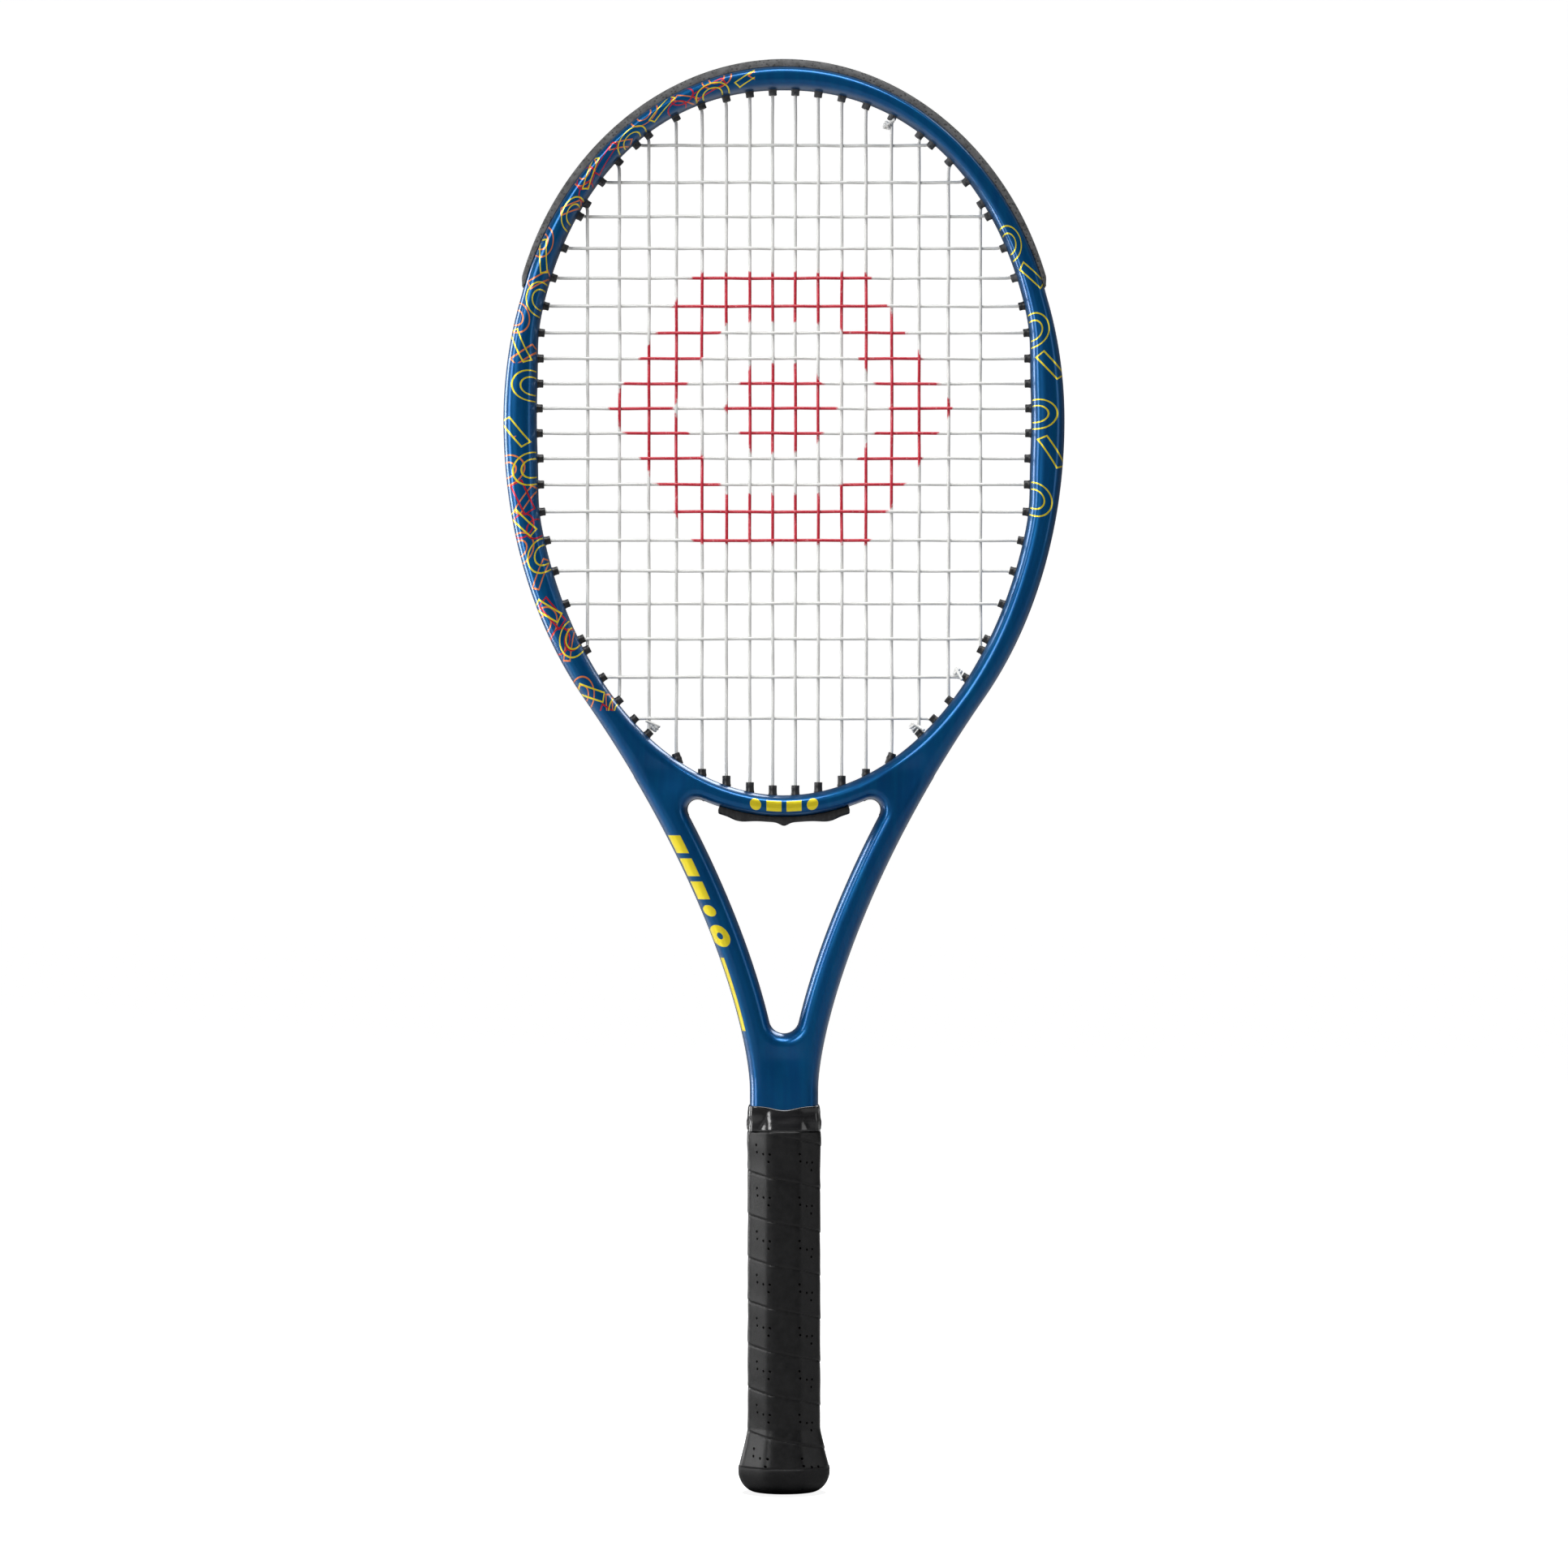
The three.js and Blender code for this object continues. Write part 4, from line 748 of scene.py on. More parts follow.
def inside_main(k, side):
    """A main from its lower barrel to its upper one, over and under the crosses."""
    low, high = main_holes[k, side, "bottom"], main_holes[k, side, "top"]
    crossed = [j for j in range(CROSSES, 0, -1)
               if low.mouth[1] < cross_level(j) < high.mouth[1]
               and abs(cross_holes[j, 1].mouth[0]) > main_place(k)]
    marks = [cross_level(j) for j in crossed]
    start, stop = low.mouth[1], high.mouth[1]
    z = np.arange(start + 0.4, stop - 0.4, 1.0)
    y = waving(z, marks, weave_sign(main_number(k, side), crossed[0]), start, stop)
    wander = 0.16 * np.sin(z / 17.0 + 2.1 * k + side) * np.sin(z / 41.0 + k)
    free = ease(z, start, start + SETTLING) * (1 - ease(z, stop - SETTLING, stop))
    return np.stack([side * main_place(k) + wander * free, y, z], -1)


def inside_cross(j):
    """A cross from its left barrel to its right one, the other way over and under the mains."""
    left, right = cross_holes[j, -1], cross_holes[j, 1]
    met = [(k, side) for side in (-1, 1) for k in range(1, MAINS_PER_SIDE + 1)
           if main_place(k) < right.mouth[0] and main_holes[k, side, "bottom"].mouth[1]
           < cross_level(j) < main_holes[k, side, "top"].mouth[1]]
    met.sort(key=lambda spot: spot[1] * main_place(spot[0]))
    marks = [side * main_place(k) for k, side in met]
    start, stop = left.mouth[0], right.mouth[0]
    x = np.arange(start + 0.4, stop - 0.4, 1.0)
    y = waving(x, marks, -weave_sign(main_number(*met[0]), j), start, stop)
    wander = 0.14 * np.sin(x / 13.0 + 1.7 * j) * np.sin(x / 37.0 + j)
    z = cross_level(j) + wander * (1 - ease(np.abs(x), stop - SETTLING, stop))
    return np.stack([x, y, z], -1)


def track_place(hole, offset):
    """Where a hole's line leaves the rim, as a place on the rim's run."""
    line = rim_points + offset * rim_outward
    away = line - hole.base
    beside = np.abs(away[:, 0] * hole.way[1] - away[:, 1] * hole.way[0])
    return int(np.argmin(np.where(away @ hole.way > 0, beside, 1e9)))


def loop_round(start, end, lane, y_start=0.0, y_end=0.0):
    """A string's run outside the rim: out of one barrel, along the groove and into the next."""
    if start.bridge:
        angles = np.linspace(*[-math.acos(np.clip(h.base[0] / OUTER_HALF, -1, 1))
                               for h in (start, end)], 9)
        in_strip = max(abs(start.base[0]), abs(end.base[0])) < main_place(BRIDGE_MAINS) + 2
        level = STRIP_LOOP if in_strip else CORNER_LOOP
        plane = outer_edge(angles) + level * edge_normal(outer_edge, angles)
    else:
        a, b = track_place(start, CHANNEL_LEVEL), track_place(end, CHANNEL_LEVEL)
        step = 1 if b >= a else -1
        chosen = np.arange(a, b + step, step)
        plane = rim_points[chosen] + CHANNEL_LEVEL * rim_outward[chosen]
    bow = np.sin(np.linspace(0, math.pi, len(plane))) ** 0.5
    y = mix(y_start, y_end, np.linspace(0, 1, len(plane))) + (lane * bow)
    return np.stack([plane[:, 0], y, plane[:, 1]], -1)


def add_string(name, path, material, node):
    """One round string along a rough path, which is evened out and softened first."""
    shape = Shape()
    tube(shape, softened(even_path(path, SAMPLE), 2), STRING_RADIUS, (0.0, 1.0, 0.0))
    shape.piece(name, material, (node,))


def add_strings(material):
    """The mains and the crosses, each one long woven string with its loops round the rim."""
    halves = []
    for side in (-1, 1):
        path = []
        for k in range(1, MAINS_PER_SIDE + 1):
            inside = inside_main(k, side)
            path.append(inside if k % 2 else inside[::-1])
            if k < MAINS_PER_SIDE:
                end = "top" if k % 2 else "bottom"
                path.append(loop_round(main_holes[k, side, end], main_holes[k + 1, side, end],
                                       side * LANE))
        last = main_holes[MAINS_PER_SIDE, side, "bottom"]
        tied = main_holes[MAIN_TIE_OFF, side, "bottom"]
        path.append(loop_round(last, tied, side * 2 * LANE, 0.0, side * TIED_LANE))
        path.append(np.array([[tied.mouth[0], side * TIED_LANE, tied.mouth[1] + 0.3]]))
        halves.append(np.concatenate(path))
    first = [main_holes[1, side, "bottom"] for side in (-1, 1)]
    start = loop_round(first[0], first[1], LANE)
    whole = np.concatenate([halves[0][::-1], start, halves[1]])
    add_string("mains", whole, material, "main_string")

    tied = main_holes[START_MAIN, 1, "top"]
    path = [np.array([[tied.mouth[0], -TIED_LANE, tied.mouth[1] - 0.3]]),
            loop_round(tied, cross_holes[1, 1], -LANE, -TIED_LANE, 0.0)]
    for j in range(1, CROSSES + 1):
        side = 1 if j % 2 else -1
        inside = inside_cross(j)
        path.append(inside[::-1] if side > 0 else inside)
        if j < CROSSES:
            path.append(loop_round(cross_holes[j, -side], cross_holes[j + 1, -side], side * LANE))
    tied = cross_holes[END_CROSS, 1]
    path.append(loop_round(cross_holes[CROSSES, 1], tied, -LANE, 0.0, -TIED_LANE))
    path.append(np.array([[tied.mouth[0] - 0.3, -TIED_LANE, tied.mouth[1]]]))
    add_string("crosses", np.concatenate(path), material, "cross_string")


def add_knot(name, hole, tail_way, material, node):
    """Two hitches wound tightly round the string at the barrel's mouth, and a cut tail."""
    inward, tail_way = np.array([-hole.way[0], 0.0, -hole.way[1]]), unit(np.array(tail_way))
    side = np.cross(inward, (0.0, 1.0, 0.0))
    turn = np.linspace(0, 5.2 * math.pi, 84)
    climb = 0.9 + 3.4 * turn / turn[-1]
    radius = 1.42 + 0.22 * np.sin(turn * 0.8)
    middle = np.array([hole.mouth[0], 0.0, hole.mouth[1]])
    coil = (middle + climb[:, None] * inward
            + (radius * np.cos(turn))[:, None] * side
            + (radius * np.sin(turn))[:, None] * np.array([0.0, 1.0, 0.0]))
    bend = unit(tail_way + 0.25 * inward)
    tail = coil[-1] + np.linspace(0.5, 7.0, 16)[:, None] * bend
    path = softened(np.concatenate([coil, tail]), 3)
    shape = Shape()
    tube(shape, path, STRING_RADIUS * 0.93, inward)
    shape.piece(name, material, (node,))


# ------------------------------------------------------------ handle
GRIP_EASE = 0.12
TAPE_WALL = 1.62
LAST_LAP = 168.0
DOOR_HOLE_HALF = 9.85
FOOT_HALF = 12.6
COLLAR_POWER, COLLAR_EDGE_POWER, COLLAR_JOIN_POWER = 7.0, 26, 60


def octagon_radius(turn, sharpness=22):
    """Distance to the side of a unit octagon whose corners are eased: the high-power mean of
    the cosines to its four pairs of flats. The power may differ from row to row."""
    power = np.asarray(sharpness, float)
    flats = np.abs(np.cos(turn[..., None] - np.arange(4) * math.pi / 4))
    return np.sum(flats ** power[..., None], -1) ** (-1 / power)


def full_turn(points):
    """Angles once round the handle, as one row."""
    return np.linspace(-math.pi, math.pi, points, endpoint=False)[None, :]


def ring_points(turn, half, z, sharpness=22):
    """Rings round the handle: an eased octagon of this half width, shallower through Y."""
    r = half * octagon_radius(turn, sharpness)
    return np.stack([r * np.cos(turn), DEPTH_RATIO * r * np.sin(turn),
                     np.broadcast_to(z, r.shape)], -1)


def flare(z):
    """Half width of the grip: even down the handle, then wider by a power of the way down."""
    down = np.clip((FLARE_TOP - z) / (FLARE_TOP - FLARE_LEVEL), 0, 1)
    return GRIP_HALF + (FLARE_HALF - GRIP_HALF) * down ** 1.15


def add_grip(material):
    """The wrapped grip: an eased octagon up the handle, widened by the flare at the butt. The
    strip's edge runs round it in a spiral: a shallow groove with a raised lip above it, and
    the leather is pulled a little slack and tight along its length."""
    turn = full_turn(176)
    z = np.linspace(GRIP_START, HANDLE_TOP, 400)[:, None]
    lap = (z / TAPE_PITCH + turn / (2 * math.pi)) % 1.0
    from_edge = np.minimum(lap, 1 - lap) * TAPE_PITCH
    groove = -0.5 * np.exp(-(from_edge / 0.4) ** 2)
    lip = 0.22 * np.exp(-(lap * TAPE_PITCH / 2.4)) - 0.16 * np.exp(-((1 - lap) * TAPE_PITCH / 2.8))
    slack = 0.07 * np.sin(z / 3.1 + 3 * turn) * np.sin(z / 11.0 - 2 * turn) \
        + 0.05 * np.sin(5 * turn + z / 6.3)
    away = ease(z, GRIP_START, GRIP_START + 4) * (1 - ease(z, HANDLE_TOP - 4, HANDLE_TOP - 0.5))
    tuck = -0.55 * (1 - ease(z, GRIP_START, GRIP_START + 0.9)) \
        - 0.5 * ease(z, HANDLE_TOP - 1.0, HANDLE_TOP)
    bulge = 0.35 * np.exp(-((z - LAST_LAP) / 6.0) ** 2)
    half = flare(z) - GRIP_EASE + (groove + lip + slack) * away + tuck + bulge
    skin = ring_points(turn, half, z)
    lining = ring_points(turn, np.full((2, 1), GRIP_HALF - TAPE_WALL),
                         np.array([[HANDLE_TOP], [GRIP_START]]))
    shape = Shape()
    shape.grid(np.concatenate([skin, lining]), wrap_rows=True, wrap_columns=True)
    shape.piece("wrapped_grip", material, ("grip_wrap",))


def add_butt_cap(material):
    """The moulded butt: a flat foot that rises as a superellipse to its widest level, a
    recess for the door, and a step where the strip laps over it."""
    door = DOOR_HOLE_HALF
    half = mix(FOOT_HALF, FLARE_HALF - 0.12, np.sin(np.linspace(0, 1, 30)[1:] * UP))
    out = (half - FOOT_HALF) / (FLARE_HALF - FOOT_HALF)
    level = FLARE_LEVEL * (1 - (1 - out ** 2.1) ** (1 / 1.9))
    profile = np.array([
        (door, 2.8), (door, 0.5), (door + 0.12, 0.2), (door + 0.4, 0.03), (door + 0.7, 0.0),
        (FOOT_HALF, 0.0), *zip(half, level), (FLARE_HALF - 0.1, 11.6), (FLARE_HALF - 0.35, 12.4),
        (FLARE_HALF - 1.6, 13.2), (16.0, 14.0), (14.0, 14.0), (14.0, 3.0)])
    half, level = profile[:, :1], profile[:, 1:]
    sharpness = np.interp(level, [0, 12], [9, 22])
    shape = Shape()
    shape.grid(ring_points(full_turn(144), half, level, sharpness),
               wrap_rows=True, wrap_columns=True)
    shape.piece("butt", material, ("butt_cap",), sharp=50)


def add_trap_door(material):
    """The door: a thin lid with an eased rim and a thumb dent, and its two snap legs."""
    half = np.array([9.55, 9.62, 9.55, 9.2, 8.4, 6.5, 4.4, 2.4, 0.9, 0.05])[:, None]
    level = np.array([2.5, 1.6, 0.95, 0.68, 0.6, 0.58, 0.62, 1.05, 1.35, 1.4])[:, None]
    shape = Shape()
    shape.grid(ring_points(full_turn(96), half, level, 20), wrap_columns=True, caps=True)
    for side in (-1, 1):
        z = np.array([1.8, 4.0, 6.8, 7.6, 8.4])[:, None]
        thick = np.array([1.3, 1.2, 1.2, 1.35, 0.7])[:, None] / 2
        corner = np.array([[-1, -1], [1, -1], [1, 1], [-1, 1]])
        x = side * (9.0 - thick + thick * corner[None, :, 0])
        y = 2.4 * corner[None, :, 1] * np.ones_like(z)
        shape.grid(np.stack([x, y, np.broadcast_to(z, x.shape)], -1), wrap_columns=True, caps=True)
    shape.piece("butt_door", material, ("trap_door",), body="trap_door", sharp=35)


def add_collar(material):
    """The rubber collar: a stretched sleeve. Its section is the wider of an eight-sided one, as
    on the strip below it, and the shaft's eased rectangle, joined by a high power. The
    eight-sided one swells over the end of the strip and draws in above it, and the sleeve's
    upper edge dips between the corners."""
    turn = full_turn(160)
    c, s = np.cos(turn), np.sin(turn)
    # how far up the sleeve, and how far outside the shaft along X and along Y, row by row
    up, out, cover = np.array([
        (0, .9, 3.9), (.03, 1.25, 4.1), (.08, 1.4, 4.0), (.2, 1.52, 3.5), (.35, 1.52, 2.7),
        (.5, 1.35, 2.0), (.62, 1.1, 1.6), (.74, .9, 1.3), (.85, .72, 1.0), (.93, .66, .85),
        (.975, .55, .7), (1.0, .25, .3), (1.0, -.4, -.4), (.6, -.6, -.6), (0, -.6, -.6),
    ]).T[..., None]
    flats = np.arange(4)[:, None, None] * math.pi / 4
    across = c / (SHAFT_HALF + out) * np.cos(flats) \
        + s / (SHAFT_HALF_DEPTH + cover) * np.sin(flats)
    strip = np.sum(np.abs(across) ** COLLAR_EDGE_POWER, 0) ** (-1 / COLLAR_EDGE_POWER)
    snug = np.minimum(out, 0.55)
    core = (np.abs(c / (SHAFT_HALF + snug)) ** COLLAR_POWER
            + np.abs(s / (SHAFT_HALF_DEPTH + snug)) ** COLLAR_POWER) ** (-1 / COLLAR_POWER)
    wider = (strip ** COLLAR_JOIN_POWER + core ** COLLAR_JOIN_POWER) ** (1 / COLLAR_JOIN_POWER)
    r = np.where(out > 0.3, wider, core)
    x, y = r * c, r * s
    dip = 1.9 * np.exp(-(x / 7.5) ** 2) * ease(np.abs(y), 6, 10) \
        + 0.9 * np.exp(-(y / 5.0) ** 2) * ease(np.abs(x), 12, 16)
    bottom = HANDLE_TOP + 0.02
    z = bottom + up * (COLLAR_TOP - 0.3 - bottom - dip * ease(up, 0.2, 1.0))
    fold = 0.16 * np.sin(up * 9.0 + 2.0 * np.sin(turn * 2)) \
        * ease(up, 0.1, 0.3) * (1 - ease(up, 0.8, 1.0))
    stretch = 1 + fold / SHAFT_HALF
    shape = Shape()
    shape.grid(np.stack([x * stretch, y * stretch, z], -1), wrap_rows=True, wrap_columns=True)
    shape.piece("grip_sleeve_end", material, ("grip_collar",), sharp=60)


# ------------------------------------------------------------ finishes
class Value:
    """A number that varies over a surface. Each operator adds the Math node it stands for."""

    def __init__(self, finish, socket):
        self.finish, self.socket = finish, socket

    def math(self, operation, *others):
        values = {0: self, **{i + 1: other for i, other in enumerate(others)}}
        return self.finish.node("ShaderNodeMath", {"operation": operation}, values)

    def __add__(self, other):
        return self.math("ADD", other)

    __radd__ = __add__

    def __mul__(self, other):
        return self.math("MULTIPLY", other)

    __rmul__ = __mul__

    def __sub__(self, other):
        return self.math("SUBTRACT", other)

    def __rsub__(self, other):
        return (self * -1) + other

    def __truediv__(self, other):
        return self.math("DIVIDE", other)

    def __abs__(self):
        return self.math("ABSOLUTE")

    def fraction(self):
        return self.math("FRACT")

    def larger(self, other):
        return self.math("MAXIMUM", other)

    def smaller(self, other):
        return self.math("MINIMUM", other)

    def above(self, edge, soft=0.05):
        """From 0 to 1 across an edge that is soft by this much on either side."""
        return self.finish.node(
            "ShaderNodeMapRange", {"interpolation_type": "SMOOTHSTEP"},
            {"Value": self, "From Min": edge - soft, "From Max": edge + soft})

    def below(self, edge, soft=0.05):
        return 1 - self.above(edge, soft)

    def between(self, low, high, soft=0.05):
        return self.above(low, soft) * self.below(high, soft)


def far(a, b):
    """How far a point is from another, given its two distances to it."""
    return (a * a + b * b).math("SQRT")


class Finish:
    """A material built round one Principled shader."""

    def __init__(self, name, **sockets):
        self.material = bpy.data.materials.new(name)
        self.material.use_nodes = True
        self.tree = self.material.node_tree
        self.tree.nodes.clear()
        self.shader = self.tree.nodes.new("ShaderNodeBsdfPrincipled")
        output = self.tree.nodes.new("ShaderNodeOutputMaterial")
        self.tree.links.new(self.shader.outputs[0], output.inputs["Surface"])
        place = self.tree.nodes.new("ShaderNodeTexCoord")
        self.place = Value(self, place.outputs["Object"])
        self.set(**sockets)

    def feed(self, socket, value):
        if isinstance(value, Value):
            self.tree.links.new(value.socket, socket)
        elif isinstance(value, tuple) and len(value) == 3 and socket.type == "RGBA":
            socket.default_value = (*value, 1.0)
        else:
            socket.default_value = value

    def set(self, **sockets):
        """Sets the shader's sockets by their names in small letters with underscores."""
        for name, value in sockets.items():
            label = name.replace("_", " ").title().replace("Ior", "IOR")
            self.feed(self.shader.inputs[label], value)

    def node(self, kind, settings=None, values=None, out=0):
        made = self.tree.nodes.new(kind)
        for name, setting in (settings or {}).items():
            setattr(made, name, setting)
        for name, value in (values or {}).items():
            self.feed(made.inputs[name], value)
        return Value(self, made.outputs[out])

    def parts(self, vector):
        """A vector's three numbers."""
        made = self.tree.nodes.new("ShaderNodeSeparateXYZ")
        self.feed(made.inputs[0], vector)
        return [Value(self, socket) for socket in made.outputs]

    def millimetres(self):
        return [part * 1000 for part in self.parts(self.place)]

    def stretched(self, x, y, z):
        """The place on the piece, with each direction scaled for a pattern."""
        return self.node("ShaderNodeMapping", {}, {"Vector": self.place, "Scale": (x, y, z)})

    def grain(self, scale, detail=3.0, rough=0.55, vector=None):
        return self.node("ShaderNodeTexNoise", {}, {
            "Vector": vector or self.place, "Scale": scale, "Detail": detail, "Roughness": rough})

    def cells(self, scale, feature="F1", out="Distance"):
        return self.node("ShaderNodeTexVoronoi", {"feature": feature},
                         {"Vector": self.place, "Scale": scale}, out)

    def blend(self, share, a, b):
        """One colour over another by a share from 0 to 1."""
        made = self.tree.nodes.new("ShaderNodeMix")
        made.data_type = "RGBA"
        for name, value in ((0, share), (6, a), (7, b)):
            self.feed(made.inputs[name], value)
        return Value(self, made.outputs[2])

    def relief(self, height, depth):
        """Raises the surface by a height from 0 to 1 that stands for this many millimetres."""
        self.set(normal=self.node("ShaderNodeBump", {}, {
            "Height": height, "Distance": depth * MM, "Strength": 1.0}))


YELLOW = (0.95, 0.78, 0.03)
ORANGE = (0.86, 0.24, 0.07)
RED = (0.62, 0.018, 0.035)
CRIMSON = (0.56, 0.004, 0.028)
HALF_LINE, LINE_EDGE, INK_EDGE = 0.34, 0.1, 0.12
PRINT_WIDTH = 12.8
SIDE_FACE_HALF = 5.2
STENCIL_MIDDLE = (-1.5, 519.0)
STENCIL_REACH, STENCIL_CORNER, STENCIL_RISE = 83, 130, 65
HOLE_GROUPS = 5
HOLE_RADIUS = 0.6
HOLE_SPOTS = ((-4.0, 2.4), (-3.6, -1.0), (0.4, -1.0), (4.0, -0.4), (3.4, -4.1))
TAPE_GIRTH = 110.0


def lacquer():
    """Deep blue lacquer under a clear coat. The print on the hoop is drawn in the rim's own
    measures: the run along it, the place across it, and the distance in from an arm's edge."""
    f = Finish("blue_lacquer", metallic=0.62, coat_weight=0.5, coat_roughness=0.035, coat_ior=1.33,
               specular_ior_level=0.25)
    x, y, z = f.millimetres()
    run, across, in_from_edge = f.parts(
        f.node("ShaderNodeAttribute", {"attribute_name": "rim_place"}, out="Vector"))
    brushed = f.grain(1.0, 3.0, vector=f.stretched(260, 260, 22))
    cloudy = f.grain(14.0, 2.0)
    deep = f.blend(cloudy.above(0.5, 0.25), (0.0, 0.058, 0.2), (0.0, 0.08, 0.25))
    base = f.blend(brushed.above(0.52, 0.3) * 0.3, deep, (0.0, 0.155, 0.33))

    def line(distance):
        return abs(distance).below(HALF_LINE, LINE_EDGE)

    def ring(u, v, radius):
        return line(far(u, v) - radius)

    def outline(u, v, half_long, half_wide, lean):
        """The outline of a rectangle that is turned by an angle."""
        along = u * math.cos(lean) + v * math.sin(lean)
        beside = v * math.cos(lean) - u * math.sin(lean)
        return line((abs(along) - half_long).larger(abs(beside) - half_wide))

    def repeated(period, shift):
        return ((run / period + shift).fraction() - 0.5) * period

    v = (across - 0.5) * PRINT_WIDTH
    u = repeated(44.0, 0.12)
    yellow = ring(u + 9, v + 5, 8.2).larger(ring(u + 9, v + 5, 4.8))
    yellow = yellow.larger(outline(u - 10, v - 1.5, 7.5, 2.0, 0.55))
    u = repeated(37.0, 0.55)
    orange = ring(u - 6, v - 5.5, 7.0).larger(ring(u - 6, v - 5.5, 3.6))
    orange = orange.larger(outline(u + 10, v + 1, 6.5, 1.8, -0.75))
    u = repeated(58.0, 0.3)
    red = ring(u + 4, v - 2, 5.4).larger(outline(u - 9, v, 8.0, 2.4, 0.3))
    red = red.larger(ring(u + 8, v + 4, 4.6))
    low_or_high = z.below(498, 0.3).larger(z.above(612, 0.3))
    orange = orange * (1 - z.between(505, 540, 0.3))
    left = x.below(-14, 0.4) * z.above(374, 0.3)
    right = x.above(0, 0.5) * z.between(464, 614, 0.3)
    flat = abs(y).above(SIDE_FACE_HALF, 0.25)
    on_face = across.between(0.015, 0.985, 0.01) * flat

    # down the left arm: three bars, a dot, a ring and a sliver
    bars = z.between(306, 314.5, 0.15) + z.between(295, 303.5, 0.15) + z.between(284, 292.5, 0.15)
    bars = bars * in_from_edge.between(0.9, 6.2, INK_EDGE)
    spot = far(z - 278.5, in_from_edge - 3.8).below(2.7, INK_EDGE)
    hoop_mark = far((z - 266.5) * 0.8, in_from_edge - 4.0).between(1.3, 4.2, INK_EDGE)
    sliver = z.between(221, 256, 0.2) * in_from_edge.between(0.3, 2.1, INK_EDGE)
    arm_print = bars.larger(spot).larger(hoop_mark).larger(sliver) * x.below(0, 0.5)
    # across the bridge: a dot, two bars and a dot
    w = (across - 0.5) * RIM_BRIDGE
    dot = far(abs(x) - 13.6, w).below(2.7, INK_EDGE)
    dash = (abs(abs(x) - 4.8) - 3.6).larger(abs(w) - 2.5).below(0, INK_EDGE)
    bridge_print = dot.larger(dash) * z.between(316, 338, 0.3) * abs(x).below(17, 0.3)

    base = f.blend(orange * left * on_face, base, ORANGE)
    base = f.blend(red * left * low_or_high * on_face, base, RED)
    base = f.blend(yellow * (left + right) * on_face, base, YELLOW)
    base = f.blend(arm_print.larger(bridge_print) * flat, base, YELLOW)
    f.set(base_color=base)
    f.set(roughness=f.grain(900.0, 2.0) * 0.1 + 0.27)
    return f.material


def guard_plastic():
    """Charcoal guard: a matte moulding with fine pores, a mottle and lighter scuffs."""
    f = Finish("guard_charcoal", specular_ior_level=0.32)
    pores = f.cells(620.0)
    mottle = f.grain(240.0, 4.0, 0.7)
    scuffs = f.grain(1.0, 2.0, vector=f.stretched(60, 400, 60))
    colour = f.blend(mottle.above(0.5, 0.22), (0.05, 0.05, 0.051), (0.105, 0.106, 0.108))
    colour = f.blend(scuffs.above(0.68, 0.1) * 0.4, colour, (0.19, 0.19, 0.195))
    # painted shade: the pores are dents in the bump, and their colour is darkened for the shade
    # that falls in them
    f.set(base_color=f.blend(pores.below(0.3, 0.12), colour, (0.03, 0.03, 0.032)))
    f.set(roughness=mottle * 0.2 + 0.52)
    f.relief(pores.above(0.28, 0.2) + mottle * 0.5, 0.12)
    return f.material


def grommet_plastic():
    """Black moulded plastic with a faint flow along each barrel."""
    f = Finish("grommet_black", specular_ior_level=0.45)
    flow = f.grain(1.0, 3.0, vector=f.stretched(700, 700, 160))
    fine = f.grain(1600.0, 2.0)
    f.set(base_color=f.blend(flow.above(0.55, 0.2), (0.011, 0.011, 0.012), (0.028, 0.028, 0.03)))
    f.set(roughness=fine * 0.22 + 0.3)
    f.relief(fine * 0.6 + flow * 0.4, 0.04)
    return f.material


def string_polymer():
    """Off-white coated string with lengthwise filaments. The stencil is a six-sided ring
    round a small six-sided patch, brushed on, so that its edges are ragged string by string."""
    f = Finish("string_natural", coat_weight=0.35, coat_roughness=0.18)
    x, _, z = f.millimetres()
    ragged = f.grain(420.0, 2.0) * 5.0 - 2.5
    wide, level = abs(x - STENCIL_MIDDLE[0]), abs(z - STENCIL_MIDDLE[1])
    slanted = (wide + ragged) / STENCIL_REACH + level / STENCIL_CORNER
    six = ((level + ragged) / STENCIL_RISE).larger(slanted)
    paint = six.between(0.63, 1.0, 0.012).larger(six.below(0.33, 0.012))
    patchy = f.grain(900.0, 3.0).above(0.34, 0.1)
    filament = f.grain(1.0, 2.0, vector=f.stretched(1500, 1500, 1500))
    clean = f.blend(filament, (0.66, 0.66, 0.64), (0.84, 0.84, 0.82))
    f.set(base_color=f.blend(paint * (patchy * 0.25 + 0.75), clean, CRIMSON))
    f.set(roughness=filament * 0.2 + 0.26)
    f.relief(filament, 0.05)
    return f.material


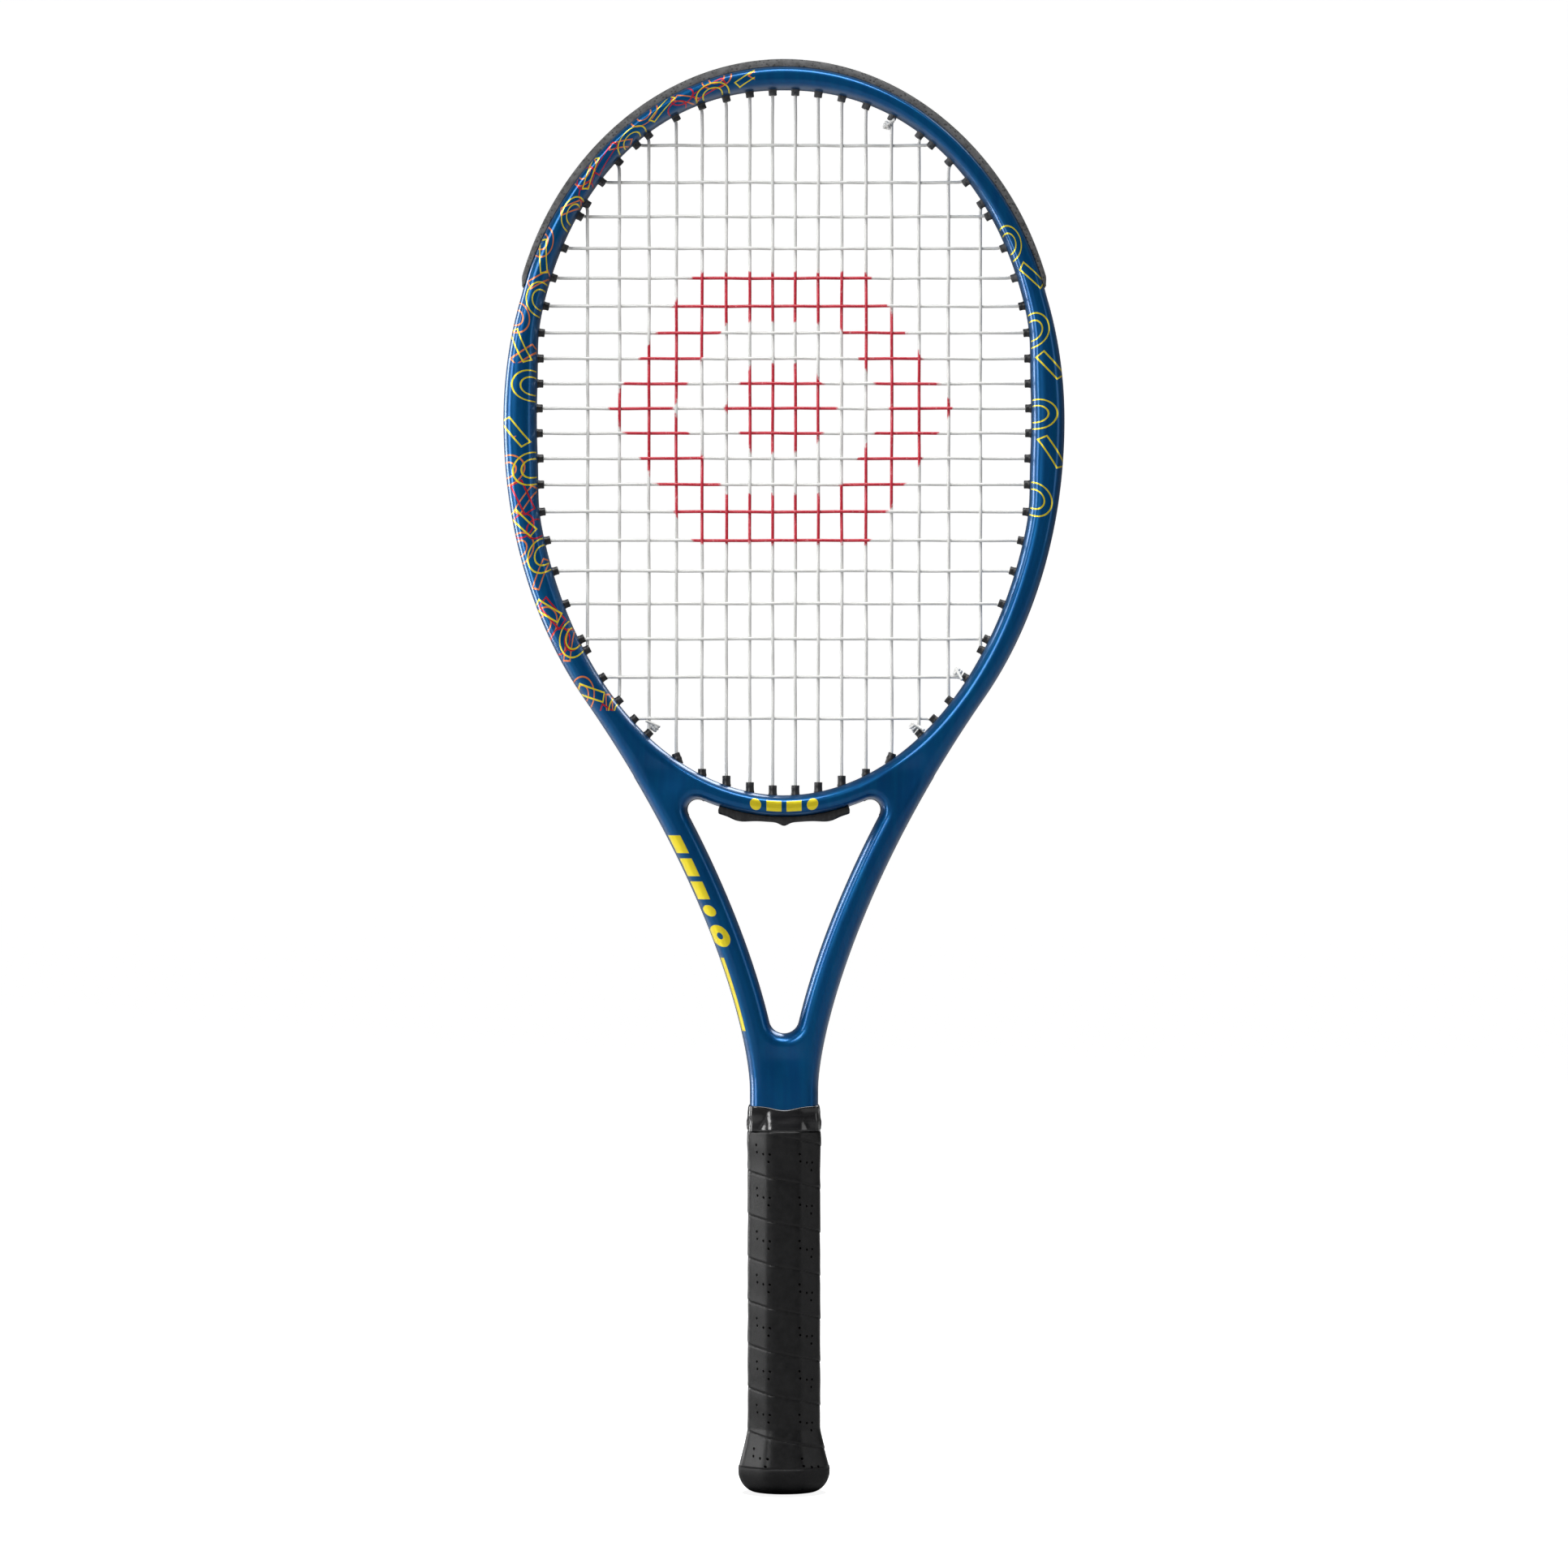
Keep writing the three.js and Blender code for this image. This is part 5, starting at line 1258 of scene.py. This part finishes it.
def grip_skin():
    """Smooth black leather-like strip: a fine creased grain, and small punched holes in a
    repeating group, placed by the turn round the handle and the height up the strip."""
    f = Finish("grip_leather", specular_ior_level=0.27)
    x, y, z = f.millimetres()
    turn = (y / DEPTH_RATIO).math("ARCTAN2", x)
    lap = (z / TAPE_PITCH + turn / (2 * math.pi)).fraction() * TAPE_PITCH
    share = (turn * (HOLE_GROUPS / (2 * math.pi)) + 0.234).fraction() - 0.5
    around = share * (TAPE_GIRTH / HOLE_GROUPS)
    first, *others = [far(around - right, lap - 11.5 - up) for right, up in HOLE_SPOTS]
    for other in others:
        first = first.smaller(other)
    inside = first.below(HOLE_RADIUS, 0.1)
    creases = f.cells(1300.0, "DISTANCE_TO_EDGE")
    skin = f.grain(260.0, 4.0, 0.6)
    colour = f.blend(skin.above(0.5, 0.25), (0.005, 0.005, 0.0053), (0.011, 0.011, 0.0115))
    rubbed = f.grain(30.0, 2.0).above(0.6, 0.15)
    colour = f.blend(rubbed * 0.4, colour, (0.014, 0.014, 0.0145))
    # painted shade: the holes are only dents in the bump, so they are painted near black and made
    # fully metallic, which takes away their reflection and stands in for the shade in their depth
    f.set(base_color=f.blend(inside, colour, (0.002, 0.002, 0.002)))
    f.set(roughness=skin * 0.14 + 0.27 + inside * 0.4, metallic=inside)
    height = creases.above(0.08, 0.08) * 0.09 + skin * 0.26 - inside * 2.2
    f.relief(height, 0.16)
    return f.material


def collar_rubber():
    """Glossy black rubber, drawn tight, with faint stretch marks round it."""
    f = Finish("collar_rubber", coat_weight=0.5, coat_roughness=0.08)
    stretch = f.grain(1.0, 3.0, vector=f.stretched(45, 45, 900))
    dust = f.grain(1300.0, 2.0)
    f.set(base_color=f.blend(stretch.above(0.5, 0.2), (0.006, 0.006, 0.007), (0.016, 0.016, 0.017)))
    f.set(roughness=dust * 0.12 + 0.16)
    f.relief(stretch * 0.5 + dust * 0.15, 0.06)
    return f.material


def cap_plastic():
    """Black cap plastic with a fine spark-eroded texture."""
    f = Finish("cap_black", specular_ior_level=0.2)
    spark = f.cells(1500.0)
    wear = f.grain(90.0, 4.0)
    f.set(base_color=f.blend(wear.above(0.55, 0.2), (0.006, 0.006, 0.0065), (0.013, 0.013, 0.0135)))
    f.set(roughness=spark * 0.2 + 0.42)
    f.relief(spark, 0.05)
    return f.material


def pallet_foam():
    """Moulded polyurethane foam: tan, with skin, cells and a few larger pits."""
    f = Finish("pallet_foam", specular_ior_level=0.2)
    pits = f.cells(330.0)
    cellular = f.grain(500.0, 4.0, 0.7)
    colour = f.blend(cellular, (0.42, 0.33, 0.19), (0.6, 0.49, 0.31))
    # painted shade: the pits are dents in the bump, and their colour is a darker brown for the
    # shade that falls in them
    f.set(base_color=f.blend(pits.below(0.2, 0.1), colour, (0.24, 0.18, 0.1)))
    f.set(roughness=cellular * 0.2 + 0.72)
    f.relief(pits.above(0.2, 0.15) + cellular * 0.4, 0.25)
    return f.material


def staple_steel():
    """Drawn galvanised wire with lengthwise marks and dull spangles."""
    f = Finish("staple_steel", metallic=1.0)
    drawn = f.grain(1.0, 3.0, vector=f.stretched(1800, 1800, 120))
    spangle = f.cells(420.0, out="Color")
    tone = f.parts(spangle)[0]
    f.set(base_color=f.blend(tone, (0.42, 0.43, 0.45), (0.62, 0.63, 0.65)))
    f.set(roughness=drawn * 0.25 + 0.25)
    f.relief(drawn, 0.03)
    return f.material


def mark_rim(made):
    """Stores, for each point of the frame, its run along the rim from the crown (positive to
    the right), its place across it (0 inside, 1 outside), and its distance in from an arm's
    outer edge, all from the point's place in the string plane."""
    mesh = made.data
    flat = np.empty(len(mesh.vertices) * 3)
    mesh.vertices.foreach_get("co", flat)
    points = flat.reshape(-1, 3) / MM
    x, z = np.abs(points[:, 0]), points[:, 2]
    rise = z - HEAD_LEVEL
    share = np.where(rise > 0, OUTER_RISE, OUTER_DROP)
    turn, reach = np.arctan2(rise / share, x / OUTER_HALF), np.hypot(rise / share, x / OUTER_HALF)
    inner = inner_edge(angle_table)
    inner_share = np.where(inner[:, 1] > HEAD_LEVEL, OUTER_RISE, OUTER_DROP)
    inner_rise = (inner[:, 1] - HEAD_LEVEL) / inner_share
    inner_turn = np.arctan2(inner_rise, inner[:, 0] / OUTER_HALF)
    inner_reach = np.interp(turn, inner_turn, np.hypot(inner_rise, inner[:, 0] / OUTER_HALF))
    middle = (inner_edge(angle_table) + outer_edge(angle_table)) / 2
    length = np.concatenate([[0], np.cumsum(np.linalg.norm(np.diff(middle, axis=0), axis=1))])
    run = (length[-1] - np.interp(turn, angle_table, length)) * np.sign(points[:, 0])
    across = (reach - inner_reach) / (1 - inner_reach)
    edge = arm_edge(arm_places)
    lean = np.interp(z, edge[:, 1], -arm_inward(arm_places)[:, 0])
    in_from_edge = (np.interp(z, edge[:, 1], edge[:, 0]) - x) * lean
    mark = mesh.attributes.new("rim_place", "FLOAT_VECTOR", "POINT")
    place = np.stack([run, across, in_from_edge], -1).astype(np.float32)
    mark.data.foreach_set("vector", place.ravel())


# ------------------------------------------------------------ assembly
plastic, string, cap = grommet_plastic(), string_polymer(), cap_plastic()
mark_rim(add_frame(lacquer()))
add_bumper(guard_plastic())
for side in (-1, 1):
    add_side_strip(side, plastic)
    add_corner_grommets(side, plastic)
add_bridge_strip(plastic)
add_strings(string)
for name, hole, tail_way, node in (
        ("left", tie_offs[0], (-1.0, -0.35, 0.15), "main_knot_left"),
        ("right", tie_offs[1], (1.0, -0.35, -0.75), "main_knot_right"),
        ("top", tie_offs[2], (0.75, -0.35, 0.65), "cross_knot_start"),
        ("side", tie_offs[3], (0.55, -0.4, -0.8), "cross_knot_end")):
    add_knot(f"tie_off_{name}", hole, tail_way, string, node)

add_grip(grip_skin())
add_butt_cap(cap)
add_trap_door(cap)
add_collar(collar_rubber())

for start, finish in (("cap_staple", staple_steel()), ("handle_pallet", pallet_foam())):
    for node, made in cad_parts.items():
        if node.startswith(start):
            made.data.materials.clear()
            made.data.materials.append(finish)


# ------------------------------------------------------------ studio
SWEEP_SIDES = 96
CAMERA_DISTANCE = 2.817
CAMERA_HEIGHT = 0.339
LENS_LENGTH, SENSOR_WIDTH = 135.0, 36.0


def studio_floor():
    """A round, pale sweep: a profile of (out, up) points in metres, turned about Z, that runs
    flat just under the racket and curves up into a wall all round. It shines only towards the
    camera, so that it adds no light to the racket."""
    turn = np.linspace(0, 2 * math.pi, SWEEP_SIDES, endpoint=False)[None, :]
    out, up = np.array([
        (0.02, -0.0004), (0.8, -0.0004), (2.0, -0.0004), (3.6, 0), (4.2, 0.03), (4.7, 0.12),
        (5.1, 0.28), (5.4, 0.5), (5.6, 0.8), (5.7, 1.15), (5.75, 1.6), (5.75, 4.5), (5.75, 8.0),
    ]).T[..., None]
    points = np.stack([out * np.cos(turn), out * np.sin(turn), up + 0 * turn], -1)
    faces = grid_faces(len(up), SWEEP_SIDES, wrap_columns=True).tolist()
    faces.append(list(range(SWEEP_SIDES)))
    mesh = bpy.data.meshes.new("studio_sweep")
    mesh.from_pydata(points.reshape(-1, 3).tolist(), [], faces)
    mesh.shade_smooth()
    paint = Finish("studio_white", base_color=(0.42, 0.42, 0.42), roughness=0.9,
                   specular_ior_level=0.0, emission_strength=0.92)
    seen = paint.node("ShaderNodeLightPath", out="Is Camera Ray")
    paint.set(emission_color=paint.blend(seen, (0.0, 0.0, 0.0), (1.0, 1.0, 1.0)))
    mesh.materials.append(paint.material)
    made = bpy.data.objects.new("studio_sweep", mesh)
    bpy.context.scene.collection.objects.link(made)


def area_light(name, place, target, size, power):
    """A soft rectangular light, in metres and watts, that faces its target."""
    light = bpy.data.lights.new(name, "AREA")
    light.shape, light.size, light.size_y, light.energy = "RECTANGLE", *size, power
    made = bpy.data.objects.new(name, light)
    made.location = place
    made.rotation_euler = (Vector(target) - Vector(place)).to_track_quat("-Z", "Y").to_euler()
    made.visible_camera = False
    bpy.context.scene.collection.objects.link(made)


studio_floor()
area_light("key_front", (-1.5, -2.2, 1.7), (0, 0, 0.4), (1.2, 1.2), 40)
area_light("side_left", (-1.15, -0.14, 0.46), (0, 0, 0.3), (0.36, 0.86), 7)
area_light("edge_left", (-1.0, 0.75, 0.5), (0, 0, 0.34), (0.22, 0.95), 7)
area_light("side_right", (2.0, -0.5, 0.7), (0, 0, 0.36), (0.7, 1.2), 3.5)
area_light("top_soft", (0.2, -0.5, 2.5), (0, 0, 0.5), (1.4, 1.0), 44)
area_light("back_soft", (0.9, 2.4, 2.0), (0, 0, 0.35), (1.6, 1.2), 26)

world = bpy.data.worlds.new("studio_air")
world.use_nodes = True
world.node_tree.nodes["Background"].inputs["Color"].default_value = (1, 1, 1, 1)
world.node_tree.nodes["Background"].inputs["Strength"].default_value = 0.17
bpy.context.scene.world = world
bpy.context.scene.view_settings.view_transform = "Standard"

lens = bpy.data.cameras.new("front_camera")
lens.lens, lens.sensor_width = LENS_LENGTH, SENSOR_WIDTH
lens.clip_start, lens.clip_end = 0.05, 60
camera = bpy.data.objects.new("front_camera", lens)
camera.location = (0.0, -CAMERA_DISTANCE, CAMERA_HEIGHT)
camera.rotation_euler = (UP, 0, 0)
bpy.context.scene.collection.objects.link(camera)
bpy.context.scene.camera = camera
